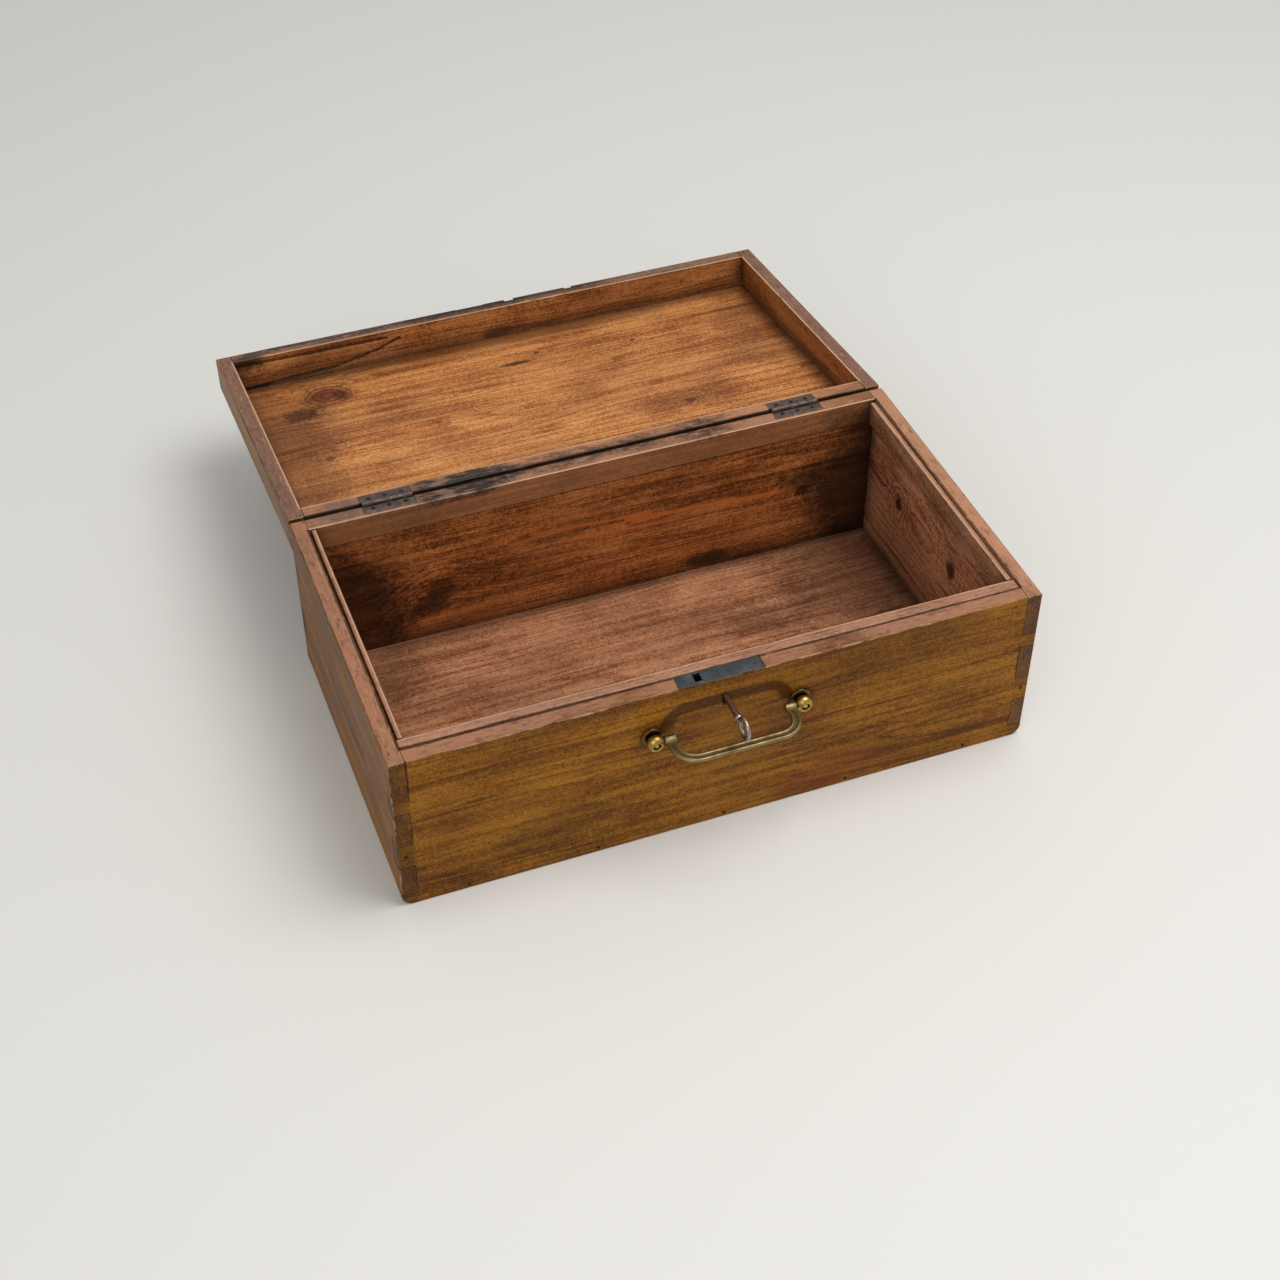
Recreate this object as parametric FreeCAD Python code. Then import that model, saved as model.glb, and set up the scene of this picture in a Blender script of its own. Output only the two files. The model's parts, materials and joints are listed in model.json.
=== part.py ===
"""Old dovetailed wooden box with a hinged lid, a bail handle and a key-operated box lock.

Millimetres. +X runs along the length, +Y to the back, where the hinges are, and +Z is up.
The origin is the centre of the underside. The lid is built shut and then swung open onto its stop.
"""
import FreeCAD, Part
import math
import os

Vector = FreeCAD.Vector

# Carcase: dovetailed boards around a set-in bottom
BOX_LENGTH = 500.0
BOX_DEPTH = 275.0
BOX_HEIGHT = 145.0
SIDE_THICKNESS = 12.0
FRONT_THICKNESS = 13.0
BOTTOM_THICKNESS = 8.5
END_WEAR = 9.0
RIM_END_WEAR = 1.6
ARRIS = 1.0

# Dovetails: parts of the height, pins and tails in turn, up from the underside of the box
BOX_PINS_AND_TAILS = (12.0, 28.0, 22.0, 33.0, 12.0, 38.0)
# and a tail and a pin up from the rim of the lid
LID_TAIL_AND_PIN = (19.0, 10.0)
DOVETAIL_SLOPE = 7.0

# Lid: a dovetailed frame of rails with a panel nailed over it
LID_HEIGHT = 36.0
LID_PANEL_THICKNESS = 7.0
LID_RAIL_THICKNESS = 13.0
RIM_GAP = 0.3
STOP_GAP = 0.3
# Chips broken out of the front rail's outer rim edge: middle, length and depth
RIM_CHIPS = ((15.5, 9.0, 3.6), (71.5, 7.0, 3.0), (-21.0, 26.0, 1.5))

# Strips along the inside of the rim, each sprung away from its board at the top
STRIP_HEIGHT = 21.0
STRIP_DROP = 0.5
FRONT_STRIP_THICKNESS = 10.5
SIDE_STRIP_THICKNESS = 5.5
SPRUNG_DEPTH = 9.0
FRONT_SPRUNG_LEFT = 2.8
FRONT_SPRUNG_RIGHT = 1.0
LEFT_SPRUNG = 1.9
RIGHT_SPRUNG = 1.2
RIGHT_STRIP_SHORT = 2.5

# Hinges: two butt hinges let into the back rims
HINGE_LENGTH = 40.0
HINGE_FROM_END = 78.0
LEAF_WIDTH = 9.0
LEAF_THICKNESS = 1.3
KNUCKLE_RADIUS = 2.0
KNUCKLE_COUNT = 5
KNUCKLE_GAP = 0.2
HINGE_PIN_RADIUS = 1.0
RUNNING_CLEARANCE = 0.05
HINGE_SCREW_PITCH = 13.0

# Lock: a plate let into the front rim, over a case that is open to the key from the front
LOCK_X = -5.0
LOCK_PLATE_LENGTH = 64.5
LOCK_PLATE_THICKNESS = 1.5
LOCK_PLATE_MARGIN = 1.0
LOCK_PLATE_EAR = 8.25
LOCK_CASE_DEPTH = 28.5
LOCK_SKIN = 2.5
LOCK_WALL = 1.0
LOCK_SCREW_INSET = 5.0
STAPLE_FROM_END = 7.25
STAPLE_WIDTH = 5.5
SLIDE_CLEARANCE = 0.2

# Bolt, thrown under the staple hole by one full turn of the key
BOLT_THROW = 7.0
BOLT_END_CLEARANCE = 0.6
BOLT_HEIGHT = 6.5
BOLT_HEAD_LENGTH = 6.6
BOLT_TAIL_THICKNESS = 3.0
BOLT_BELOW_PLATE = 3.0
LEDGE_HEIGHT = 2.0
SPRING_WIDTH = 5.0
SPRING_THICKNESS = 0.6

# Key
KEY_FROM_LOCK_MIDDLE = 2.0
KEY_BELOW_RIM = 17.0
KEY_REACH = 45.0
KEY_SHANK_RADIUS = 2.2
KEY_COLLAR_RADIUS = 3.4
KEY_COLLAR_LENGTH = 2.5
KEY_BOW_RADIUS = 7.6
KEY_BOW_WIRE = 1.6
KEY_BIT_RADIUS = 9.5
KEY_BIT_THICKNESS = 2.4
KEY_WARD_WIDTH = 1.2
KEY_WARD_DEPTH = 3.0
KEYHOLE_CLEARANCE = 0.4

# Handle: a bail between two turned posts
HANDLE_X = -1.0
HANDLE_BELOW_RIM = 39.3
POST_SPACING = 115.0
POST_FLANGE_RADIUS = 8.4
POST_FLANGE_EDGE = 0.9
POST_FLANGE_THICKNESS = 1.7
POST_NECK_RADIUS = 4.6
POST_NECK_LENGTH = 3.2
POST_HEAD_RADIUS = 6.8
POST_HEIGHT = 11.5
POST_DIMPLE_RADIUS = 3.3
POST_DIMPLE_DEPTH = 1.2
POST_BOSS_RADIUS = 1.9
POST_BOSS_HEIGHT = 0.9
STUD_RADIUS = 2.5
STUD_END = 1.5
STUD_CLEARANCE = 0.1
WASHER_RADIUS = 6.5
WASHER_THICKNESS = 1.0
NUT_ACROSS_FLATS = 9.0
NUT_THICKNESS = 4.0
BAIL_REACH = 24.0
BAIL_BAR_WIDTH = 7.6
BAIL_BEAD_RADIUS = 1.5
BAIL_WEB_THICKNESS = 1.8
BAIL_CORNER_RADIUS = 16.0
BAIL_PIN_RADIUS = 2.1
BAIL_PIN_LENGTH = 4.5
BAIL_SIDE_GAP = 0.35
BAIL_REST_ANGLE = 90.0

# Nails and screws
NAIL_HEAD_RADIUS = 1.6
NAIL_HEAD_THICKNESS = 0.8
NAIL_SHANK = 1.5
NAIL_BITE = 14.0
STRIP_PIN_HEAD_RADIUS = 1.0
STRIP_PIN_BITE = 8.0
SCREW_HEAD_RADIUS = 1.9
SCREW_HEAD_HEIGHT = 1.1
SCREW_SHANK_RADIUS = 1.0
SCREW_LENGTH = 11.0
SCREW_SLOT = 0.5
BOTTOM_NAIL_COUNT = 5
BOTTOM_NAIL_INSET = 50.0
LID_END_NAIL_COUNT = 3
LID_EDGE_NAIL_COUNT = 5
LID_NAIL_INSET = 46.0

# Places that follow from the sizes above
HALF_LENGTH = BOX_LENGTH / 2
FRONT = -BOX_DEPTH / 2
BACK = BOX_DEPTH / 2
FRONT_INSIDE = FRONT + FRONT_THICKNESS
BACK_INSIDE = BACK - FRONT_THICKNESS
SIDE_INSIDE = HALF_LENGTH - SIDE_THICKNESS
RIM = BOX_HEIGHT
LID_RIM = RIM + RIM_GAP
LID_PANEL_UNDERSIDE = LID_RIM + LID_HEIGHT - LID_PANEL_THICKNESS
LID_TOP = LID_RIM + LID_HEIGHT
HINGE_Y = BACK + KNUCKLE_RADIUS + KNUCKLE_GAP
HINGE_Z = RIM + RIM_GAP / 2
HINGE_XS = {"left": HINGE_FROM_END - HALF_LENGTH, "right": HALF_LENGTH - HINGE_FROM_END}

LOCK_PLATE_UNDERSIDE = RIM - LOCK_PLATE_THICKNESS
LOCK_CASE_HALF = LOCK_PLATE_LENGTH / 2 - LOCK_PLATE_EAR
LOCK_CASE_X = (LOCK_X - LOCK_CASE_HALF, LOCK_X + LOCK_CASE_HALF)
LOCK_CASE_Z = (LOCK_PLATE_UNDERSIDE - LOCK_CASE_DEPTH, LOCK_PLATE_UNDERSIDE)
LOCK_FRONT = FRONT + LOCK_SKIN
LOCK_CAVITY_Y = (LOCK_FRONT + LOCK_WALL, FRONT_INSIDE - LOCK_WALL)
BOLT_Z = (LOCK_PLATE_UNDERSIDE - BOLT_BELOW_PLATE - BOLT_HEIGHT, LOCK_PLATE_UNDERSIDE - BOLT_BELOW_PLATE)
STAPLE_X = LOCK_CASE_X[0] + STAPLE_FROM_END
BOLT_TIP = STAPLE_X + STAPLE_WIDTH / 2 + KEYHOLE_CLEARANCE
BOLT_END = LOCK_CASE_X[1] - LOCK_WALL - BOLT_END_CLEARANCE
KEY_X = LOCK_X + KEY_FROM_LOCK_MIDDLE
KEY_Z = RIM - KEY_BELOW_RIM

POST_XS = (HANDLE_X - POST_SPACING / 2, HANDLE_X + POST_SPACING / 2)
HANDLE_Z = RIM - HANDLE_BELOW_RIM
PIVOT_HEIGHT = (POST_NECK_LENGTH + POST_HEIGHT) / 2
PIVOT = Vector(HANDLE_X, FRONT - PIVOT_HEIGHT, HANDLE_Z)
BAIL_ARM_X = POST_SPACING / 2 - POST_HEAD_RADIUS - BAIL_SIDE_GAP - BAIL_BAR_WIDTH / 2


def lid_open_angle():
    """Angle from shut to where the lid's top back edge comes to rest against the box's back."""
    offset = HINGE_Y - BACK
    height = LID_TOP - HINGE_Z
    reach = math.hypot(offset, height)
    droop = math.acos((STOP_GAP - offset) / reach) - math.atan2(height, offset)
    return 180.0 + math.degrees(droop)


def block(x, y, z):
    """Box between two limits on each axis."""
    return Part.makeBox(x[1] - x[0], y[1] - y[0], z[1] - z[0], Vector(x[0], y[0], z[0]))


def rod(radius, start, end):
    """Round bar from one point to another."""
    run = end.sub(start)
    return Part.makeCylinder(radius, run.Length, start, run)


def prism(points, push):
    """Straight-sided outline pushed into a solid."""
    return Part.Face(Part.makePolygon(points + points[:1])).extrude(push)


def fuse(shapes):
    """One solid from touching shapes."""
    return shapes[0].fuse(shapes[1:]).removeSplitter()


def rounded_prism(corners, radii, push):
    """Right-angled outline with its own radius at each corner, pushed into a solid."""
    edges = []
    count = len(corners)
    arcs = []
    for index, corner in enumerate(corners):
        back = corners[index - 1].sub(corner).normalize()
        ahead = corners[(index + 1) % count].sub(corner).normalize()
        radius = radii[index]
        middle = corner + (back + ahead) * (radius * (1 - math.sqrt(0.5)))
        arcs.append((corner + back * radius, middle, corner + ahead * radius))
    for index, (start, middle, end) in enumerate(arcs):
        edges.append(Part.Arc(start, middle, end).toShape())
        edges.append(Part.LineSegment(end, arcs[(index + 1) % count][0]).toShape())
    return Part.Face(Part.Wire(edges)).extrude(push)


def aimed(shape, at, direction):
    """Shape built up from the origin along +Z, moved to a point and turned along a direction."""
    turn = FreeCAD.Rotation(Vector(0, 0, 1), direction)
    moved = shape.copy()
    moved.Placement = FreeCAD.Placement(at, turn)
    return moved


def worn_envelope(z, worn_low, worn_high):
    """Outer form of the box or the lid, with worn ends and softened arrises."""
    low, high = z
    corners = [
        Vector(-HALF_LENGTH, FRONT, low),
        Vector(HALF_LENGTH, FRONT, low),
        Vector(HALF_LENGTH, FRONT, high),
        Vector(-HALF_LENGTH, FRONT, high),
    ]
    radii = (worn_low, worn_low, worn_high, worn_high)
    body = rounded_prism(corners, radii, Vector(0, BOX_DEPTH, 0))
    outlines = []
    for face in body.Faces:
        if face.BoundBox.YLength < ARRIS:
            outlines += face.Edges
    return body.makeFillet(ARRIS, outlines)


def tail_spans(parts, z, first_tail):
    """Heights of the dovetails' tails, from the parts that share out the height."""
    scale = (z[1] - z[0]) / sum(parts)
    spans = []
    low = z[0]
    for index, part in enumerate(parts):
        high = low + part * scale
        if index % 2 == first_tail:
            spans.append((low, high))
        low = high
    return spans


def tails(x, face, base, z, spans):
    """Dovetail tails at one end of a side board, flared towards the outer face."""
    flare = abs(base - face) / DOVETAIL_SLOPE
    made = []
    for low, high in spans:
        low_flare = 0.0 if math.isclose(low, z[0]) else flare
        high_flare = 0.0 if math.isclose(high, z[1]) else flare
        points = [
            Vector(x[0], face, low),
            Vector(x[0], face, high),
            Vector(x[0], base, high - high_flare),
            Vector(x[0], base, low + low_flare),
        ]
        made.append(prism(points, Vector(x[1] - x[0], 0, 0)))
    return made


def dovetailed_frame(z, side_thickness, front_thickness, spans, envelope):
    """Four boards: sides with tails, and a front and back with the pins that fit them."""
    xs = {
        "left": (-HALF_LENGTH, side_thickness - HALF_LENGTH),
        "right": (HALF_LENGTH - side_thickness, HALF_LENGTH),
    }
    ys = {
        "front": (FRONT, FRONT + front_thickness),
        "back": (BACK, BACK - front_thickness),
    }
    boards = {}
    sockets = {"front": [], "back": []}
    for side, x in xs.items():
        pieces = [block(x, (FRONT + front_thickness, BACK - front_thickness), z)]
        for end, (face, base) in ys.items():
            made = tails(x, face, base, z, spans)
            sockets[end] += made
            pieces += made
        boards[side] = fuse(pieces).common(envelope)
    for end, y in ys.items():
        board = block((-HALF_LENGTH, HALF_LENGTH), sorted(y), z)
        boards[end] = board.cut(sockets[end]).common(envelope)
    return boards


def nail(head_radius, length):
    """Flat-headed cut nail, head at the origin and shank along +Z."""
    head = Part.makeCylinder(head_radius, NAIL_HEAD_THICKNESS)
    half = NAIL_SHANK / 2
    return fuse([head, block((-half, half), (-half, half), (0, length))])


def screw(length):
    """Slotted countersunk wood screw, head at the origin and shank along +Z."""
    head = Part.makeCone(SCREW_HEAD_RADIUS, SCREW_SHANK_RADIUS, SCREW_HEAD_HEIGHT)
    shank = Part.makeCylinder(SCREW_SHANK_RADIUS, length)
    slot_x = (-SCREW_HEAD_RADIUS, SCREW_HEAD_RADIUS)
    slot = block(slot_x, (-SCREW_SLOT / 2, SCREW_SLOT / 2), (0, SCREW_SLOT))
    return fuse([head, shank]).cut(slot)


def screw_room(length):
    """Countersunk hole that a screw fills."""
    head = Part.makeCone(SCREW_HEAD_RADIUS, SCREW_SHANK_RADIUS, SCREW_HEAD_HEIGHT)
    return fuse([head, Part.makeCylinder(SCREW_SHANK_RADIUS, length)])


def spread(count, reach):
    """Places spread evenly from a reach on one side of the middle to the same on the other."""
    return [reach * (2 * step / (count - 1) - 1) for step in range(count)]


def corner_nails():
    """A nail through the middle pin of each corner, from the front and from the back."""
    spans = tail_spans(BOX_PINS_AND_TAILS, (0.0, BOX_HEIGHT), 1)
    height = (spans[0][1] + spans[1][0]) / 2
    shape = nail(NAIL_HEAD_RADIUS, FRONT_THICKNESS + NAIL_BITE)
    nails = []
    for side in (-1, 1):
        x = side * (HALF_LENGTH - SIDE_THICKNESS / 2)
        nails.append(aimed(shape, Vector(x, FRONT, height), Vector(0, 1, 0)))
        nails.append(aimed(shape, Vector(x, BACK, height), Vector(0, -1, 0)))
    return nails


def bottom_nails():
    """Nails through the front and the back into the edges of the bottom."""
    shape = nail(NAIL_HEAD_RADIUS, FRONT_THICKNESS + NAIL_BITE)
    nails = []
    for x in spread(BOTTOM_NAIL_COUNT, HALF_LENGTH - BOTTOM_NAIL_INSET):
        at = Vector(x, FRONT, BOTTOM_THICKNESS / 2)
        nails.append(aimed(shape, at, Vector(0, 1, 0)))
        nails.append(aimed(shape, Vector(x, BACK, at.z), Vector(0, -1, 0)))
    return nails


def strip_pins():
    """Thin nails through the rim strips into the boards, below where the strips have sprung."""
    z = RIM - STRIP_DROP - (SPRUNG_DEPTH + STRIP_HEIGHT) / 2
    front = nail(STRIP_PIN_HEAD_RADIUS, FRONT_STRIP_THICKNESS + STRIP_PIN_BITE)
    side = nail(STRIP_PIN_HEAD_RADIUS, SIDE_STRIP_THICKNESS + STRIP_PIN_BITE)
    pins = []
    for share in (-0.84, -0.4, 0.4, 0.84):
        at = Vector(share * SIDE_INSIDE, FRONT_INSIDE + FRONT_STRIP_THICKNESS, z)
        pins.append(aimed(front, at, Vector(0, -1, 0)))
    for share in (-0.7, 0.0, 0.7):
        x = SIDE_INSIDE - SIDE_STRIP_THICKNESS
        y = share * BACK_INSIDE
        pins.append(aimed(side, Vector(-x, y, z), Vector(-1, 0, 0)))
        pins.append(aimed(side, Vector(x, y, z), Vector(1, 0, 0)))
    return pins


def lid_panel_nails():
    """Nails down through the lid's panel into its rails, clear of the worn ends."""
    shape = nail(NAIL_HEAD_RADIUS, LID_PANEL_THICKNESS + NAIL_BITE)
    down = Vector(0, 0, -1)
    nails = []
    for x in spread(LID_EDGE_NAIL_COUNT, HALF_LENGTH - LID_NAIL_INSET):
        for y in (FRONT + LID_RAIL_THICKNESS / 2, BACK - LID_RAIL_THICKNESS / 2):
            nails.append(aimed(shape, Vector(x, y, LID_TOP), down))
    inset = (END_WEAR + LID_RAIL_THICKNESS) / 2
    for y in spread(LID_END_NAIL_COUNT, BACK - LID_NAIL_INSET):
        for x in (inset - HALF_LENGTH, HALF_LENGTH - inset):
            nails.append(aimed(shape, Vector(x, y, LID_TOP), down))
    return nails


def hinge(middle):
    """Butt hinge: box leaf, lid leaf and pin, built shut, with the recess for each leaf."""
    x = (middle - HINGE_LENGTH / 2, middle + HINGE_LENGTH / 2)
    box_z = (RIM - LEAF_THICKNESS, RIM)
    lid_z = (LID_RIM, LID_RIM + LEAF_THICKNESS)
    plates = [block(x, (BACK - LEAF_WIDTH, HINGE_Y), z) for z in (box_z, lid_z)]
    knuckle = (HINGE_LENGTH - (KNUCKLE_COUNT - 1) * KNUCKLE_GAP) / KNUCKLE_COUNT
    ways = ([], [])
    knuckles = ([], [])
    swing = KNUCKLE_RADIUS + KNUCKLE_GAP
    for index in range(KNUCKLE_COUNT):
        low = x[0] + index * (knuckle + KNUCKLE_GAP)
        high = low + knuckle
        start = Vector(low, HINGE_Y, HINGE_Z)
        knuckles[index % 2].append(rod(KNUCKLE_RADIUS, start, Vector(high, HINGE_Y, HINGE_Z)))
        way_x = (max(low - KNUCKLE_GAP, x[0] - 1), min(high + KNUCKLE_GAP, x[1] + 1))
        way = block(way_x, (HINGE_Y - swing, HINGE_Y + swing), (HINGE_Z - swing, HINGE_Z + swing))
        ways[1 - index % 2].append(way)
    ends = (Vector(x[0], HINGE_Y, HINGE_Z), Vector(x[1], HINGE_Y, HINGE_Z))
    bores = (rod(HINGE_PIN_RADIUS, *ends), rod(HINGE_PIN_RADIUS + RUNNING_CLEARANCE, *ends))
    made = []
    for index, plate in enumerate(plates):
        leaf = fuse([plate.cut(ways[index])] + knuckles[index])
        made.append(leaf.cut(bores[index]))
    recesses = [block(x, (BACK - LEAF_WIDTH, BACK), z) for z in (box_z, lid_z)]
    return made[0], made[1], rod(HINGE_PIN_RADIUS, *ends), recesses


def hinge_screw_places(middle):
    """Heads of the screws of one hinge, on the box's leaf and on the lid's."""
    y = BACK - LEAF_WIDTH / 2
    xs = [middle + HINGE_SCREW_PITCH * step for step in (-1, 0, 1)]
    return [Vector(x, y, RIM) for x in xs], [Vector(x, y, LID_RIM) for x in xs]


def keyhole(start, end):
    """Round hole and slot that the key's shank and bit pass through, along Y."""
    radius = KEY_SHANK_RADIUS + KEYHOLE_CLEARANCE
    half = KEY_BIT_THICKNESS / 2 + KEYHOLE_CLEARANCE
    slot_z = (KEY_Z - KEY_BIT_RADIUS - KEYHOLE_CLEARANCE, KEY_Z)
    round_hole = rod(radius, Vector(KEY_X, start, KEY_Z), Vector(KEY_X, end, KEY_Z))
    slot = block((KEY_X - half, KEY_X + half), (start, end), slot_z)
    return fuse([round_hole, slot])


def lock_plate_screw_places():
    """Heads of the two screws in the lock plate."""
    reach = LOCK_PLATE_LENGTH / 2 - LOCK_SCREW_INSET
    y = (FRONT + LOCK_PLATE_MARGIN + FRONT_INSIDE) / 2
    return [Vector(LOCK_X - reach, y, RIM), Vector(LOCK_X + reach, y, RIM)]


def lock_plate_outline(z):
    """The lock plate before its holes, which is also its recess in the rim."""
    half = LOCK_PLATE_LENGTH / 2
    return block((LOCK_X - half, LOCK_X + half), (FRONT + LOCK_PLATE_MARGIN, FRONT_INSIDE), z)


def lock_plate():
    """Plate in the rim with the staple hole and two countersunk screw holes."""
    z = (LOCK_PLATE_UNDERSIDE, RIM)
    half = STAPLE_WIDTH / 2
    holes = [block((STAPLE_X - half, STAPLE_X + half), LOCK_CAVITY_Y, z)]
    for place in lock_plate_screw_places():
        holes.append(aimed(screw_room(SCREW_LENGTH), place, Vector(0, 0, -1)))
    return lock_plate_outline(z).cut(holes)


def lock_case():
    """Open-topped tray in the front board, with the keyhole and two ledges that carry the bolt."""
    x, z = LOCK_CASE_X, LOCK_CASE_Z
    inner_x = (x[0] + LOCK_WALL, x[1] - LOCK_WALL)
    tray = block(x, (LOCK_FRONT, FRONT_INSIDE - LOCK_WALL), z)
    cavity = block(inner_x, LOCK_CAVITY_Y, (z[0] + LOCK_WALL, z[1]))
    ledge_z = (BOLT_Z[0] - SLIDE_CLEARANCE - LEDGE_HEIGHT, BOLT_Z[0] - SLIDE_CLEARANCE)
    clear = KEY_BIT_RADIUS + KEYHOLE_CLEARANCE
    left = block((inner_x[0], KEY_X - clear), LOCK_CAVITY_Y, ledge_z)
    right = block((KEY_X + clear, inner_x[1]), LOCK_CAVITY_Y, ledge_z)
    case = fuse([tray.cut(cavity), left, right])
    return case.cut(keyhole(LOCK_FRONT, LOCK_CAVITY_Y[0]))


def lock_cover():
    """Plate that closes the case from inside the box and carries the key's tip."""
    y = (FRONT_INSIDE - LOCK_WALL, FRONT_INSIDE)
    bearing = KEY_SHANK_RADIUS + RUNNING_CLEARANCE
    hole = rod(bearing, Vector(KEY_X, y[0], KEY_Z), Vector(KEY_X, y[1], KEY_Z))
    return block(LOCK_CASE_X, y, LOCK_CASE_Z).cut(hole)


def lock_bolt():
    """Sliding bolt: a thick head, and a thin tail with the talon that the key's bit turns in."""
    y_low = LOCK_CAVITY_Y[0] + SLIDE_CLEARANCE
    y_high = LOCK_CAVITY_Y[1] - SLIDE_CLEARANCE
    head = block((BOLT_TIP, BOLT_TIP + BOLT_HEAD_LENGTH), (y_low, y_high), BOLT_Z)
    tail = block((BOLT_TIP, BOLT_END), (y_low, y_low + BOLT_TAIL_THICKNESS), BOLT_Z)
    bite = BOLT_Z[0] - KEY_Z
    half_turn = math.degrees(math.acos(bite / KEY_BIT_RADIUS))
    sweep = math.sqrt(KEY_BIT_RADIUS ** 2 - bite ** 2) + KEY_BIT_THICKNESS
    entry = BOLT_THROW * (180.0 - half_turn) / 360.0
    leaving = BOLT_THROW * (180.0 + half_turn) / 360.0
    talon_top = KEY_Z + KEY_BIT_RADIUS + KEYHOLE_CLEARANCE
    talon_x = (KEY_X - sweep + leaving, KEY_X + sweep + entry)
    talon = block(talon_x, LOCK_CAVITY_Y, (BOLT_Z[0], talon_top))
    return fuse([head, tail]).cut(talon)


def lock_spring():
    """Bowed leaf spring between the lock plate and the bolt."""
    ends = (BOLT_TIP + BOLT_HEAD_LENGTH, BOLT_END - BOLT_THROW - KEYHOLE_CLEARANCE)
    middle = sum(ends) / 2
    y = (LOCK_CAVITY_Y[0] + LOCK_CAVITY_Y[1] - SPRING_WIDTH) / 2
    top = LOCK_PLATE_UNDERSIDE
    low = BOLT_Z[1] + SLIDE_CLEARANCE

    def bow(end_z, middle_z):
        points = [Vector(ends[0], y, end_z), Vector(middle, y, middle_z), Vector(ends[1], y, end_z)]
        return points, Part.Arc(*points).toShape()

    upper_points, upper = bow(top, low + SPRING_THICKNESS)
    lower_points, lower = bow(top - SPRING_THICKNESS, low)
    sides = []
    for index in (0, 2):
        sides.append(Part.LineSegment(upper_points[index], lower_points[index]).toShape())
    wire = Part.Wire(Part.__sortEdges__([upper, sides[1], lower, sides[0]]))
    return Part.Face(wire).extrude(Vector(0, SPRING_WIDTH, 0))


def key():
    """Key in the lock with its bit hanging down: ring bow, collar, shank and notched bit."""
    tip = Vector(KEY_X, FRONT_INSIDE - SLIDE_CLEARANCE, KEY_Z)
    bow_y = FRONT - KEY_REACH + KEY_BOW_RADIUS + KEY_BOW_WIRE
    shank_end = Vector(KEY_X, bow_y + KEY_BOW_RADIUS, KEY_Z)
    shank = rod(KEY_SHANK_RADIUS, shank_end, tip)
    bow = Part.makeTorus(KEY_BOW_RADIUS, KEY_BOW_WIRE, Vector(KEY_X, bow_y, KEY_Z), Vector(1, 0, 0))
    collar_end = shank_end + Vector(0, KEY_BOW_WIRE + KEY_COLLAR_LENGTH, 0)
    collar = rod(KEY_COLLAR_RADIUS, shank_end + Vector(0, KEY_BOW_WIRE, 0), collar_end)
    half = KEY_BIT_THICKNESS / 2
    bit_y = (LOCK_CAVITY_Y[0] + KEYHOLE_CLEARANCE, LOCK_CAVITY_Y[1] - KEYHOLE_CLEARANCE)
    bit = block((KEY_X - half, KEY_X + half), bit_y, (KEY_Z - KEY_BIT_RADIUS, KEY_Z))
    wards = []
    for share in (0.3, 0.62):
        ward = bit_y[0] + share * (bit_y[1] - bit_y[0])
        ward_z = (KEY_Z - KEY_BIT_RADIUS, KEY_Z - KEY_BIT_RADIUS + KEY_WARD_DEPTH)
        wards.append(block((KEY_X - half, KEY_X + half), (ward, ward + KEY_WARD_WIDTH), ward_z))
    return fuse([shank, collar, bow, bit.cut(wards)])


def handle_post(x):
    """Turned post: a flange, a domed head with a boss in its hollow, a bore for the bail and a stud."""
    stud = FRONT_THICKNESS + WASHER_THICKNESS + NUT_THICKNESS + STUD_END
    dimple = POST_HEIGHT - POST_DIMPLE_DEPTH

    def at(radius, height):
        return Vector(radius, 0, height)

    def line(start, end):
        return Part.LineSegment(start, end).toShape()

    flange_edge = at(POST_FLANGE_RADIUS, POST_FLANGE_EDGE)
    flange_top = at(POST_NECK_RADIUS, POST_FLANGE_THICKNESS)
    flange_crown = at((POST_FLANGE_RADIUS + POST_NECK_RADIUS) / 2, POST_FLANGE_THICKNESS)
    head_foot = at(POST_NECK_RADIUS, POST_NECK_LENGTH)
    dimple_edge = at(POST_DIMPLE_RADIUS, POST_HEIGHT)
    outline = [at(0, -stud), at(STUD_RADIUS, -stud), at(STUD_RADIUS, 0), at(POST_FLANGE_RADIUS, 0)]
    outline.append(flange_edge)
    edges = [line(start, end) for start, end in zip(outline, outline[1:])]
    edges.append(Part.Arc(flange_edge, flange_crown, flange_top).toShape())
    edges.append(line(flange_top, head_foot))
    edges.append(Part.Arc(head_foot, at(POST_HEAD_RADIUS, PIVOT_HEIGHT), dimple_edge).toShape())
    edges.append(line(dimple_edge, at(POST_DIMPLE_RADIUS, dimple)))
    edges.append(line(at(POST_DIMPLE_RADIUS, dimple), at(POST_BOSS_RADIUS, dimple)))
    crown = dimple + POST_BOSS_HEIGHT
    dome = (POST_BOSS_RADIUS ** 2 + POST_BOSS_HEIGHT ** 2) / (2 * POST_BOSS_HEIGHT)
    halfway = POST_BOSS_RADIUS / 2
    boss_side = at(halfway, crown - dome + math.sqrt(dome ** 2 - halfway ** 2))
    edges.append(Part.Arc(at(POST_BOSS_RADIUS, dimple), boss_side, at(0, crown)).toShape())
    edges.append(line(at(0, crown), at(0, -stud)))
    turned = Part.Face(Part.Wire(edges)).revolve(Vector(0, 0, 0), Vector(0, 0, 1), 360)
    post = aimed(turned, Vector(x, FRONT, HANDLE_Z), Vector(0, -1, 0))
    inward = 1 if x < HANDLE_X else -1
    mouth = Vector(x + inward * POST_FLANGE_RADIUS, PIVOT.y, HANDLE_Z)
    bore_end = POST_HEAD_RADIUS - BAIL_PIN_LENGTH
    bottom = Vector(x + inward * bore_end, PIVOT.y, HANDLE_Z)
    return post.cut(rod(BAIL_PIN_RADIUS + RUNNING_CLEARANCE, bottom, mouth))


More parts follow.
